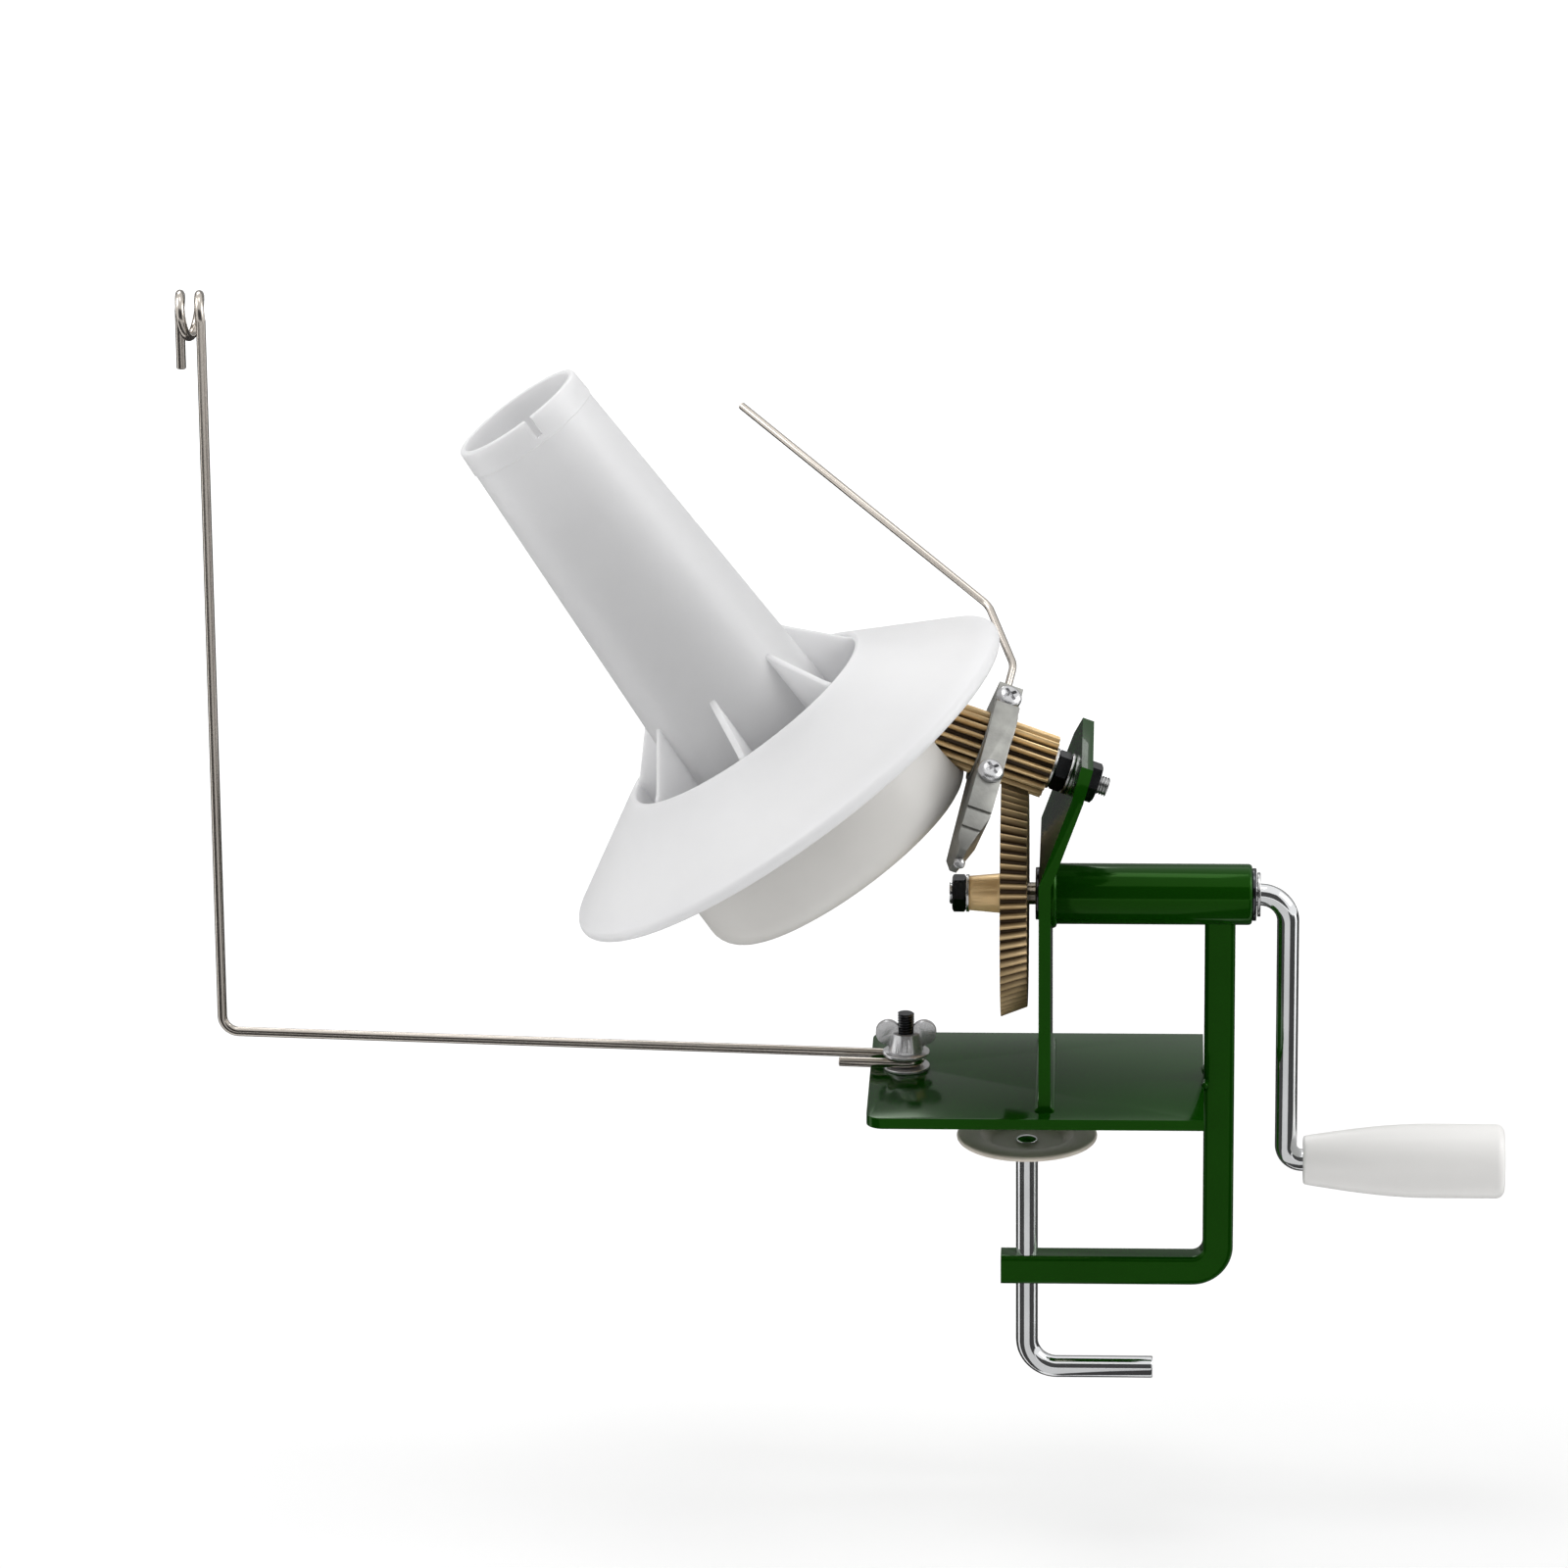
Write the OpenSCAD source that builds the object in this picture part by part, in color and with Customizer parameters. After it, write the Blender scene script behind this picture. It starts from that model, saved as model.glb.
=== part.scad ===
// Hand-cranked yarn ball winder that clamps to a table edge.
// The crank turns a conical drive gear, that turns a long pinion with the flyer on it,
// and the pinion turns the bevel gear under the slanted winding cone.
// X runs from the cone to the crank, Y to the back, Z up from the table face.

/* [Gear train] */
// Tooth module of all three gears
tooth_module = 1.15; // [1.1:0.01:1.2]
// Teeth on the conical drive gear
drive_teeth = 72; // [70:1:74]
// Teeth on the pinion
pinion_teeth = 18; // [17:1:19]
// Teeth on the bevel gear under the cone
cone_teeth = 84; // [82:1:85]
// Play between meshed teeth
tooth_play = 0.5; // [0.4:0.05:0.7]
// Face of the drive gear along the crank
drive_face = 9.6; // [8:0.2:10]
// Face of the bevel gear along the pinion
cone_face = 7; // [5:0.5:7.5]
// Downward slope of the pinion towards the crank
pinion_tilt = 20; // [19:0.5:21]
// Slope of the cone above the table
cone_tilt = 55; // [54:0.5:56]
// Distance along the pinion between its two meshes
mesh_spacing = 29.7; // [29.5:0.1:30.5]
// Pinion length past the drive mesh, towards the crank
pinion_tail = 9.5; // [8.5:0.5:10]
// Pinion length past the bevel mesh, towards the cone
pinion_nose = 3.5; // [3:0.1:3.7]
// Diameter of the bolt that carries the pinion
pinion_axle_d = 7; // [6:0.5:8]

/* [Frame] */
// Length of the base plate
plate_length = 121; // [112:1:130]
// Depth of the base plate
plate_depth = 90; // [80:1:110]
// Thickness of the base plate
plate_thick = 4; // [3:0.5:6]
// Corner radius of the base plate
plate_corner = 6; // [3:0.5:10]
// Height of the crank axis above the table face
crank_height = 74; // [70:1:90]
// Outer diameter of the bearing tube
tube_d = 22; // [18:0.5:26]
// Length of the bearing tube
tube_length = 72; // [66:1:76]
// Width of the gear upright
upright_width = 76; // [50:1:80]
// Thickness of the gear upright
upright_thick = 4.3; // [3:0.1:5]
// Gap between the drive gear and the upright
upright_gap = 4.2; // [3:0.1:6]
// Height of the tab above the pinion axle
tab_rise = 13; // [10:0.5:18]
// Section of the square clamp bar
bar_size = 11; // [9:0.5:13]
// Inner radius of the clamp bar's bend
bar_bend = 4; // [3:0.5:8]
// Opening of the clamp below the base plate
throat = 64.5; // [58:0.5:76]
// Lower clamp arm past the clamp screw
arm_tip = 9.5; // [8:0.5:14]

/* [Crank] */
// Diameter of the crank rod
crank_d = 8; // [7:0.5:10]
// Distance from the crank axis to the grip axis
crank_throw = 102; // [84:1:112]
// Centre-line radius of the crank's bend at the tube
crank_bend = 10; // [8:0.5:16]
// Centre-line radius of the crank's bend at the grip
grip_bend = 6; // [5:0.5:12]
// Length of the grip
grip_length = 73; // [60:1:90]
// Grip diameter beside the crank
grip_d_small = 18; // [15:0.5:20]
// Grip diameter at its free end
grip_d_large = 27; // [22:0.5:30]
// Length of the drive gear's hub
hub_length = 11.5; // [9:0.5:12]

/* [Cone] */
// Outer diameter of the winding tube at its mouth
mouth_d = 49; // [44:1:54]
// Outer diameter of the winding tube at its foot
foot_d = 66; // [60:1:70]
// Height of the mouth above the flange
tube_height = 164; // [120:1:180]
// Diameter of the flange
flange_d = 184; // [174:1:186]
// Wall of the cone and the gear cover
shell = 2.5; // [2:0.1:3]
// Height of the flange's rim above the middle of the bevel gear
flange_rise = 26.2; // [26:0.1:28]
// Slope of the flange up to the edge of the well
flange_slope = 31.5; // [28:0.5:34]
// Radius around the flange's rim
rim_round = 2.6; // [2:0.1:3.5]
// Radius of the well's edge
crown_r = 50.5; // [50:0.1:51.5]
// Radius of the well at its floor
well_r = 47; // [44:0.5:47.5]
// Depth of the well's floor below the flange's rim
well_depth = 7; // [5:0.1:7.4]
// Gussets around the tube's foot
rib_count = 7; // [5:1:9]
// Height of the gussets above the well's edge
rib_height = 19.5; // [12:0.5:28]
// Diameter of the bolt that carries the cone
cone_axle_d = 8; // [6:0.5:9]
// Outer radius of the gear cover
cover_r = 55; // [54.8:0.1:56]
// Depth of the gear cover below the bevel gear's middle
cover_depth = 13.5; // [12:0.5:16]
// Radius around the bottom edge of the gear cover
cover_fillet = 9; // [6:0.5:10]

/* [Flyer] */
// Turn of the flyer back from straight up
flyer_turn = 58; // [50:1:70]
// Thickness of the flyer arm along the pinion
flyer_thick = 9; // [7:0.5:9.5]
// Reach of the arm to its wire end
flyer_reach = 22; // [21:0.5:25]
// Reach of the arm to its weighted end
weight_reach = 55; // [46:0.5:56]
// Diameter of the flyer wire
wire_d = 2.8; // [2.4:0.1:3.2]

/* [Yarn guide] */
// Diameter of the guide rod
guide_d = 3.5; // [3:0.1:4.5]
// Length of the guide's lower run
guide_length = 253; // [220:1:280]
// Height of the guide's upright run
guide_height = 270; // [230:1:300]
// Turn of the guide towards the back
guide_turn = 4.5; // [0:0.5:12]
// Radius of the yarn eye's loops
eye_r = 7.5; // [7:0.5:10]
// Rise between the yarn eye's loops
eye_pitch = 7; // [5:0.1:8]
// Loops in the yarn eye
eye_loops = 1.5; // [1.5:1:3.5]
// Diameter of the guide's stud
stud_d = 6; // [5:0.5:8]
// Distance of the stud from the plate's end
stud_inset = 13; // [11:0.5:20]

/* [Clamp] */
// Diameter of the clamp screw
screw_d = 8; // [7:0.5:10]
// Diameter of the clamp pad
pad_d = 51; // [40:1:60]
// Depth of the pad below the table face, as drawn
pad_drop = 18; // [12:1:30]
// Depth of the screw's handle below the lower arm
handle_drop = 34; // [30:1:40]
// Reach of the screw's handle
handle_reach = 46; // [36:1:60]

/* [Fits] */
// Radial play of turning shafts
run_play = 0.05; // [0.02:0.01:0.08]
// Gap between faces that move past each other
face_gap = 0.3; // [0.2:0.05:0.5]

/* [Hidden] */
$fn = 64;

enamel = [0.07, 0.24, 0.05];
white = [0.93, 0.93, 0.94];
brass = [0.62, 0.48, 0.3];
zinc = [0.6, 0.6, 0.58];
steel = [0.75, 0.75, 0.77];
black = [0.12, 0.12, 0.13];

// Gear train
pressure = 20;
addendum = tooth_module;
dedendum = 1.25 * tooth_module;
drive_r = tooth_module * drive_teeth / 2;
pinion_r = tooth_module * pinion_teeth / 2;
cone_r = tooth_module * cone_teeth / 2;
half_tooth = PI * tooth_module / 4 - tooth_play / 4;
pinion_tip = pinion_r + addendum;
bevel = cone_tilt - pinion_tilt;

// Places along the crank
gear_right = 0.4;
gear_left = gear_right - drive_face;
gear_mid = gear_right - drive_face / 2;
upright_x = gear_right + upright_gap;
tube_x = upright_x + upright_thick;
tube_end = tube_x + tube_length;
washer_t = 1.2;
nut_t = 5;
bush_lip = 1.5;
crank_x = tube_end + bush_lip + face_gap + washer_t + crank_bend;

// Pinion frame: z along the pinion towards the cone, x away from both gears
pinion_x = gear_mid + pinion_r * sin(pinion_tilt);
pinion_z = crank_height + drive_r + pinion_r * cos(pinion_tilt);
pinion_low = -pinion_tail;
pinion_high = mesh_spacing + pinion_nose;

// Cone frame: z along the cone, x towards the pinion, origin in the middle of the bevel gear
mesh_x = pinion_x - mesh_spacing * cos(pinion_tilt) - pinion_r * sin(pinion_tilt);
mesh_z = pinion_z + mesh_spacing * sin(pinion_tilt) - pinion_r * cos(pinion_tilt);
cone_x = mesh_x - cone_r * sin(cone_tilt);
cone_z = mesh_z - cone_r * cos(cone_tilt);

module in_crank_frame(x) {
    translate([x, 0, crank_height]) rotate([0, 90, 0]) children();
}

module in_pinion_frame(s = 0) {
    translate([pinion_x, 0, pinion_z]) rotate([0, pinion_tilt - 90, 0]) translate([0, 0, s]) children();
}

module in_cone_frame(h = 0) {
    translate([cone_x, 0, cone_z]) rotate([0, cone_tilt - 90, 0]) translate([0, 0, h]) children();
}

// Flyer frame: the pinion frame turned about the pinion, with x along the arm towards its wire end
module in_flyer_frame(s = 0) {
    in_pinion_frame(s) rotate([0, 0, flyer_turn]) children();
}

module ring(outer_r, inner_r, height) {
    difference() {
        cylinder(r = outer_r, h = height);
        translate([0, 0, -1]) cylinder(r = inner_r, h = height + 2);
    }
}

module hex_nut(across, bore_r, height) {
    difference() {
        cylinder(r = across / 2 / cos(30), h = height, $fn = 6);
        translate([0, 0, -1]) cylinder(r = bore_r, h = height + 2);
    }
}

// Pan-head screw that points down from its head, with its seat at the origin
module pan_screw(d, length) {
    head_r = 0.95 * d;
    head_t = 0.6 * d;
    slot_w = 0.25 * d;
    difference() {
        union() {
            translate([0, 0, -length]) cylinder(d = d, h = length + 0.1);
            cylinder(r = head_r, h = head_t);
        }
        translate([-d, -slot_w / 2, head_t / 2]) cube([2 * d, slot_w, head_t]);
        translate([-slot_w / 2, -d, head_t / 2]) cube([slot_w, 2 * d, head_t]);
    }
}

// Outline of a gear with straight flanks, with a gap at the given angle
function gear_point(radius, offset, angle) =
    let (turn = angle + offset / radius * 180 / PI) [radius * cos(turn), radius * sin(turn)];

function straight_gear(teeth, pitch_r, cone_angle, grow, gap_at) =
    let (top = addendum / cos(cone_angle) * grow,
        deep = dedendum / cos(cone_angle) * grow,
        half = half_tooth * grow,
        slope = tan(pressure) * cos(cone_angle))
    [for (i = [0 : teeth - 1])
        let (angle = gap_at + (i + 0.5) * 360 / teeth)
        each [gear_point(pitch_r - deep, -half - deep * slope, angle),
            gear_point(pitch_r + top, -half + top * slope, angle),
            gear_point(pitch_r + top, half - top * slope, angle),
            gear_point(pitch_r - deep, half + deep * slope, angle)]];

// Involute outline of the pinion, with a tooth at the given angle
function involute(angle) = tan(angle) * 180 / PI - angle;

function flank_angle(radius, base_r) =
    half_tooth / pinion_r * 180 / PI + involute(pressure) - involute(acos(min(1, base_r / radius)));

function pinion_outline(tooth_at) =
    let (base_r = pinion_r * cos(pressure),
        steps = 4,
        radii = [pinion_r - dedendum,
            for (k = [0 : steps]) base_r + (pinion_tip - base_r) * k / steps])
    [for (i = [0 : pinion_teeth - 1])
        let (angle = tooth_at + i * 360 / pinion_teeth)
        each concat(
            [for (r = radii) let (a = angle - flank_angle(r, base_r)) [r * cos(a), r * sin(a)]],
            [for (k = [len(radii) - 1 : -1 : 0])
                let (r = radii[k], a = angle + flank_angle(r, base_r)) [r * cos(a), r * sin(a)]])];

// Bent round rod: straight runs between the points, joined by arcs of the given centre-line radii
function unit(v) = v / norm(v);
function heading(points, i) = unit(points[i + 1] - points[i]);
function corner_angle(points, i) = acos(heading(points, i - 1) * heading(points, i));
function trim_length(points, i, bends) =
    i == 0 || i == len(points) - 1 ? 0 : bends[i - 1] * tan(corner_angle(points, i) / 2);

module rod_path(points, bends, d) {
    for (i = [0 : len(points) - 2]) {
        along = heading(points, i);
        from = points[i] + along * trim_length(points, i, bends);
        to = points[i + 1] - along * trim_length(points, i + 1, bends);
        translate(from)
            rotate([0, acos(along.z), atan2(along.y, along.x)])
                cylinder(d = d, h = norm(to - from));
    }
    for (i = [1 : len(points) - 2]) rod_bend(points, i, bends[i - 1], d);
}

module rod_bend(points, i, bend, d) {
    before = heading(points, i - 1);
    after = heading(points, i);
    angle = corner_angle(points, i);
    centre = points[i] + unit(after - before) * bend / cos(angle / 2);
    start = points[i] - before * bend * tan(angle / 2);
    x = (start - centre) / bend;
    z = cross(x, before);
    multmatrix([[x.x, before.x, z.x, centre.x],
        [x.y, before.y, z.y, centre.y],
        [x.z, before.z, z.z, centre.z],
        [0, 0, 0, 1]])
        rotate_extrude(angle = angle) translate([bend, 0]) circle(d = d);
}

// Thin bent wire: one tube swept along a line whose corners are rounded
wire_sides = 10;
bend_steps = 7;

function rounded_line(points, bend) =
    [for (i = [0 : len(points) - 1])
        each i == 0 || i == len(points) - 1 ? [points[i]] : bend_points(points, i, bend)];

function bend_points(points, i, bend) =
    let (before = heading(points, i - 1),
        after = heading(points, i),
        angle = corner_angle(points, i),
        centre = points[i] + unit(after - before) * bend / cos(angle / 2),
        out = (points[i] - before * bend * tan(angle / 2) - centre))
    [for (k = [0 : bend_steps])
        let (a = angle * k / bend_steps) centre + out * cos(a) + before * bend * sin(a)];

function line_heading(points, i) =
    unit(points[min(i + 1, len(points) - 1)] - points[max(i - 1, 0)]);

function squared(v, along) = unit(v - along * (v * along));

function side_vectors(points) =
    let (first = line_heading(points, 0),
        start = abs(first.z) < 0.7 ? [0, 0, 1] : [0, 1, 0])
    [for (i = 0, side = squared(start, first);
        i < len(points);
        i = i + 1, side = squared(side, line_heading(points, i))) side];

module swept_tube(points, r) {
    last = len(points) - 1;
    sides = side_vectors(points);
    polyhedron(
        [for (i = [0 : last], k = [0 : wire_sides - 1])
            let (turn = 360 * k / wire_sides)
            points[i] + r * (sides[i] * cos(turn) + cross(line_heading(points, i), sides[i]) * sin(turn))],
        concat(
            [[for (k = [0 : wire_sides - 1]) k]],
            [for (i = [0 : last - 1], k = [0 : wire_sides - 1])
                let (a = i * wire_sides + k, b = i * wire_sides + (k + 1) % wire_sides)
                each [[a, a + wire_sides, b], [b, a + wire_sides, b + wire_sides]]],
            [[for (k = [wire_sides - 1 : -1 : 0]) last * wire_sides + k]]));
}

// Frame pieces
plate_right = 64;
plate_left = plate_right - plate_length;
bar_x = plate_right + bar_size / 2;
bar_round = 2;
stud_x = plate_left + stud_inset;
stud_y = 8;

module rounded_square(x, y, r) {
    square([x - 2 * r, y], center = true);
    square([x, y - 2 * r], center = true);
    for (i = [-1, 1], j = [-1, 1]) translate([i * (x / 2 - r), j * (y / 2 - r)]) circle(r = r);
}

module base_plate() {
    color(enamel) difference() {
        translate([(plate_left + plate_right) / 2, 0, 0])
            linear_extrude(plate_thick)
                union() {
                    rounded_square(plate_length, plate_depth, plate_corner);
                    translate([plate_length / 4, 0]) square([plate_length / 2, plate_depth], center = true);
                }
        translate([stud_x, stud_y, -1]) cylinder(d = stud_d + 2 * run_play, h = plate_thick + 2);
        translate([stud_x, stud_y, -1]) cylinder(d = stud_head_d + 2 * face_gap, h = 1 + stud_head_t);
    }
}

// The upright bends at the height where the tab, square to the pinion, meets it
tab_s = -pinion_tail - face_gap - washer_t - nut_t - washer_t - upright_thick;
tab_foot_x = upright_x + upright_thick / 2;
tab_foot_s = tab_s + upright_thick / 2;
tab_drop = (tab_foot_x - pinion_x + tab_foot_s * cos(pinion_tilt)) / sin(pinion_tilt);
bend_z = pinion_z + tab_foot_s * sin(pinion_tilt) + tab_drop * cos(pinion_tilt);
axle_hole_r = pinion_axle_d / 2 + run_play;
tab_cut = 14;

module gear_upright() {
    color(enamel) difference() {
        union() {
            translate([upright_x, -upright_width / 2, plate_thick])
                cube([upright_thick, upright_width, bend_z - plate_thick]);
            translate([tab_foot_x, 0, bend_z])
                rotate([90, 0, 0])
                    cylinder(d = upright_thick, h = upright_width, center = true);
            in_pinion_frame(tab_s)
                translate([tab_drop, -upright_width / 2, 0])
                    cube([tab_rise - tab_drop, upright_width, upright_thick]);
        }
        in_pinion_frame(tab_s - 1) cylinder(r = axle_hole_r, h = upright_thick + 2);
        in_crank_frame(upright_x - 1) cylinder(r = bush_r, h = upright_thick + 2);
        for (side = [-1, 1])
            in_pinion_frame(tab_s - 1)
                translate([tab_rise, side * upright_width / 2, 0])
                    rotate([0, 0, 45])
                        cube([tab_cut, tab_cut, 2 * upright_thick + 4], center = true);
    }
}

// Bearing tube with a flanged bush pressed into each end
bush_r = crank_d / 2 + 2;
bush_length = 12;

module bearing_tube() {
    color(enamel) in_crank_frame(tube_x) ring(tube_d / 2, bush_r, tube_length);
}

module tube_bushes() {
    color(black) {
        in_crank_frame(tube_x - upright_thick) bush();
        in_crank_frame(tube_end) mirror([0, 0, 1]) bush();
    }
}

module bush() {
    difference() {
        union() {
            cylinder(r = bush_r, h = bush_length);
            translate([0, 0, -bush_lip]) cylinder(d = tube_d - 3, h = bush_lip);
        }
        translate([0, 0, -bush_lip - 1]) cylinder(r = crank_d / 2 + run_play, h = bush_length + bush_lip + 2);
    }
}

// Square bar from the tube down past the plate and under the table
arm_z = -throat - bar_size / 2;
bar_centre_bend = bar_bend + bar_size / 2;

module bar_section() {
    rounded_square(bar_size, bar_size, bar_round);
}

module clamp_frame() {
    color(enamel) difference() {
        union() {
            translate([bar_x, 0, arm_z + bar_centre_bend])
                linear_extrude(crank_height - arm_z - bar_centre_bend) bar_section();
            translate([bar_x - bar_centre_bend, 0, arm_z + bar_centre_bend])
                rotate([90, 0, 0])
                    rotate([0, 0, -90])
                        rotate_extrude(angle = 90) translate([bar_centre_bend, 0]) bar_section();
            translate([-arm_tip, 0, arm_z])
                rotate([0, 90, 0])
                    linear_extrude(bar_x - bar_centre_bend + arm_tip) bar_section();
        }
        in_crank_frame(bar_x - bar_size) cylinder(d = tube_d, h = 2 * bar_size);
        translate([0, 0, arm_z - bar_size]) cylinder(d = screw_d + 2 * run_play, h = 2 * bar_size);
    }
}

// Bolt that carries the pinion, held by two nuts in the tab and screwed into the cover
axle_low = tab_s - washer_t - nut_t - 4;
boss_low = pinion_high + face_gap;
boss_t = 4.2;
nut_across = 13;

module pinion_axle() {
    color(steel) in_pinion_frame(axle_low) cylinder(d = pinion_axle_d, h = boss_low + boss_t - axle_low);
}

module axle_nuts() {
    color(black) {
        in_pinion_frame(tab_s - washer_t - nut_t) hex_nut(nut_across, axle_hole_r, nut_t);
        in_pinion_frame(tab_s + upright_thick + washer_t) hex_nut(nut_across, axle_hole_r, nut_t);
    }
}

module axle_washers() {
    color(steel) for (s = [tab_s - washer_t, tab_s + upright_thick, tab_s + upright_thick + washer_t + nut_t])
        in_pinion_frame(s) ring(nut_across / 2 + 1, axle_hole_r, washer_t);
}

// Gear cover: a cup under the flange with a window for the pinion and a boss for its bolt
cover_gap = 4.6;
cover_top = flange_rise - cover_gap;
window_r = pinion_tip + 1.5;
boss_r = 7.5;
pivot_r = 11;
pivot_top = -cone_face / 2 * cos(bevel) - face_gap - washer_t;

function arc(centre, r, from, to, steps) =
    [for (k = [0 : steps]) let (a = from + (to - from) * k / steps) centre + r * [cos(a), sin(a)]];

module gear_cover() {
    inner_fillet = cover_fillet - shell;
    color(white) difference() {
        union() {
            in_cone_frame() rotate_extrude() polygon(concat(
                [[0, -cover_depth]],
                arc([cover_r - cover_fillet, cover_fillet - cover_depth], cover_fillet, -90, 0, 8),
                [[cover_r, cover_top], [cover_r - shell, cover_top]],
                arc([cover_r - cover_fillet, cover_fillet - cover_depth], inner_fillet, 0, -90, 8),
                [[pivot_r, shell - cover_depth], [pivot_r - 1, pivot_top], [0, pivot_top]]));
            intersection() {
                in_pinion_frame(boss_low) cylinder(r = boss_r, h = boss_t);
                in_cone_frame(-cover_depth) cylinder(r = cover_r + 6, h = cover_depth + cover_top);
            }
        }
        in_pinion_frame(pinion_low) cylinder(r = window_r, h = boss_low - pinion_low);
        in_pinion_frame(boss_low - 1) cylinder(r = axle_hole_r, h = boss_t + 2);
        in_cone_frame(-cover_depth - 1) cylinder(r = cone_hole_r, h = cover_depth + 1);
    }
}

// Bolt that carries the cone, with its head under the cover and its nut inside the tube
cone_hole_r = cone_axle_d / 2 + run_play;
cone_head_t = 6;
cone_nut_t = 6;
floor_top = flange_rise - well_depth;
floor_low = floor_top - shell;
bush_top = floor_top + 3;

module cone_axle() {
    color(steel) in_cone_frame(-cover_depth - washer_t) {
        translate([0, 0, -cone_head_t])
            cylinder(r = nut_across / 2 / cos(30), h = cone_head_t, $fn = 6);
        cylinder(d = cone_axle_d, h = cover_depth + washer_t + bush_top + washer_t + cone_nut_t + 3);
    }
}

module cone_washers() {
    color(steel) for (h = [-cover_depth - washer_t, pivot_top, bush_top + face_gap])
        in_cone_frame(h) ring(pivot_r - 2, cone_hole_r, washer_t);
}

module cone_nut() {
    color(steel) in_cone_frame(bush_top + face_gap + washer_t) hex_nut(nut_across, cone_hole_r, cone_nut_t);
}

// Stud for the yarn guide, its head let into the plate
stud_head_d = 14;
stud_head_t = 2;
stud_rise = 21;

module guide_stud() {
    color(black) translate([stud_x, stud_y, 0]) {
        cylinder(d = stud_head_d, h = stud_head_t);
        cylinder(d = stud_d, h = plate_thick + stud_rise);
    }
}

module stud_washer() {
    color(steel) translate([stud_x, stud_y, plate_thick])
        ring(guide_turn_r + guide_d, stud_d / 2 + run_play, washer_t);
}

// Crank pieces
hub_low_r = 6.2;
hub_high_r = 7.2;
grip_axis_z = crank_height - crank_throw;
grip_x = crank_x + grip_bend + face_gap;
nut_low = gear_left - hub_length - washer_t - nut_t;
retainer_t = 2;
retainer_inset = 6;

module crank_rod() {
    color(steel)
        rod_path([[nut_low - 1, 0, crank_height],
            [crank_x, 0, crank_height],
            [crank_x, 0, grip_axis_z],
            [grip_x + grip_length - 2, 0, grip_axis_z]], [crank_bend, grip_bend], crank_d);
}

module drive_gear() {
    wide_r = drive_r + drive_face / 2 * tan(pinion_tilt);
    narrow_r = drive_r - drive_face / 2 * tan(pinion_tilt);
    web_r = drive_r - 9;
    web_cut = 1.5;
    color(brass) difference() {
        union() {
            in_crank_frame(gear_left)
                linear_extrude(drive_face, scale = narrow_r / wide_r)
                    polygon(straight_gear(drive_teeth, wide_r, pinion_tilt, wide_r / drive_r, 180));
            in_crank_frame(gear_left - hub_length)
                cylinder(r1 = hub_low_r, r2 = hub_high_r, h = hub_length + 0.1);
        }
        in_crank_frame(gear_left - 1)
            difference() {
                cylinder(r = web_r, h = 1 + web_cut);
                translate([0, 0, -1]) cylinder(r = hub_high_r + 4, h = 3 + web_cut);
                translate([0, 0, -1]) cylinder(r = hub_high_r, h = 3 + web_cut);
            }
        in_crank_frame(gear_left - hub_length - 1)
            cylinder(r = crank_d / 2 + run_play, h = hub_length + drive_face + 2);
    }
}

module gear_washer() {
    color(steel) in_crank_frame(nut_low + nut_t) ring(hub_low_r + 0.6, crank_d / 2 + run_play, washer_t);
}

module gear_nut() {
    color(black) in_crank_frame(nut_low) hex_nut(crank_d * 1.5, crank_d / 2 + run_play, nut_t);
}

module thrust_washer() {
    color(steel) in_crank_frame(tube_end + bush_lip + face_gap)
        ring(crank_d / 2 + 4, crank_d / 2 + run_play, washer_t);
}

module handle_grip() {
    end_round = 2;
    color(white) translate([grip_x, 0, grip_axis_z]) rotate([0, 90, 0]) difference() {
        rotate_extrude() polygon(concat(
            [[0, 0], [grip_d_small / 2 - 1, 0], [grip_d_small / 2, 1]],
            [for (k = [1 : 8])
                let (t = k / 8) [grip_d_small / 2 + (grip_d_large - grip_d_small) / 2 * sin(90 * t),
                    1 + (grip_length * 0.62) * t]],
            arc([grip_d_large / 2 - end_round, grip_length - end_round], end_round, 0, 90, 4),
            [[0, grip_length]]));
        translate([0, 0, -1]) cylinder(r = crank_d / 2 + run_play, h = grip_length + 2);
        translate([0, 0, grip_length - retainer_inset]) cylinder(r = crank_d / 2 + 4, h = retainer_inset + 1);
    }
}

module grip_retainer() {
    color(steel)
        translate([grip_x + grip_length - retainer_inset + face_gap, 0, grip_axis_z])
            rotate([0, 90, 0])
                ring(crank_d / 2 + 3, crank_d / 2, retainer_t);
}

// Flyer pieces
flyer_gap = 2.9;
flyer_low = drive_face / 2 / cos(pinion_tilt) + flyer_gap;
flyer_mid = flyer_low + flyer_thick / 2;
arm_half = 7;
collar_r = pinion_tip + 2.5;
collar_lip = 0.4;
seat_half = 10;
seat_low = 9.5;
front_half = collar_r + 0.3;
front_low = -collar_r - 14;
weight_taper = 4.5;
taper_start = 0.75;
weight_edge = 4;
screw_size = 5;
arm_screw_spots = [[flyer_reach - 6.5, seat_half], [-collar_r - 9.5, front_half]];

// Bends of the weight's front face: share of its reach, distance from the arm's middle
front_bends = [[0.73, 12.3], [0.87, 10.3]];
arm_groove_wide = 1.2;
arm_groove_deep = 0.8;
balance_d = 2.5;
balance_head_d = 4;
balance_head_t = 2;
balance_length = 8;
balance_s = flyer_low + flyer_thick - balance_head_d / 2 - weight_edge / 2;
wire_start = pinion_tip + 2;

module pinion() {
    color(brass) in_pinion_frame(pinion_low) difference() {
        linear_extrude(pinion_high - pinion_low) polygon(pinion_outline(180));
        translate([0, 0, -1]) cylinder(r = pinion_axle_d / 2 + run_play, h = pinion_high - pinion_low + 2);
    }
}

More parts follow.
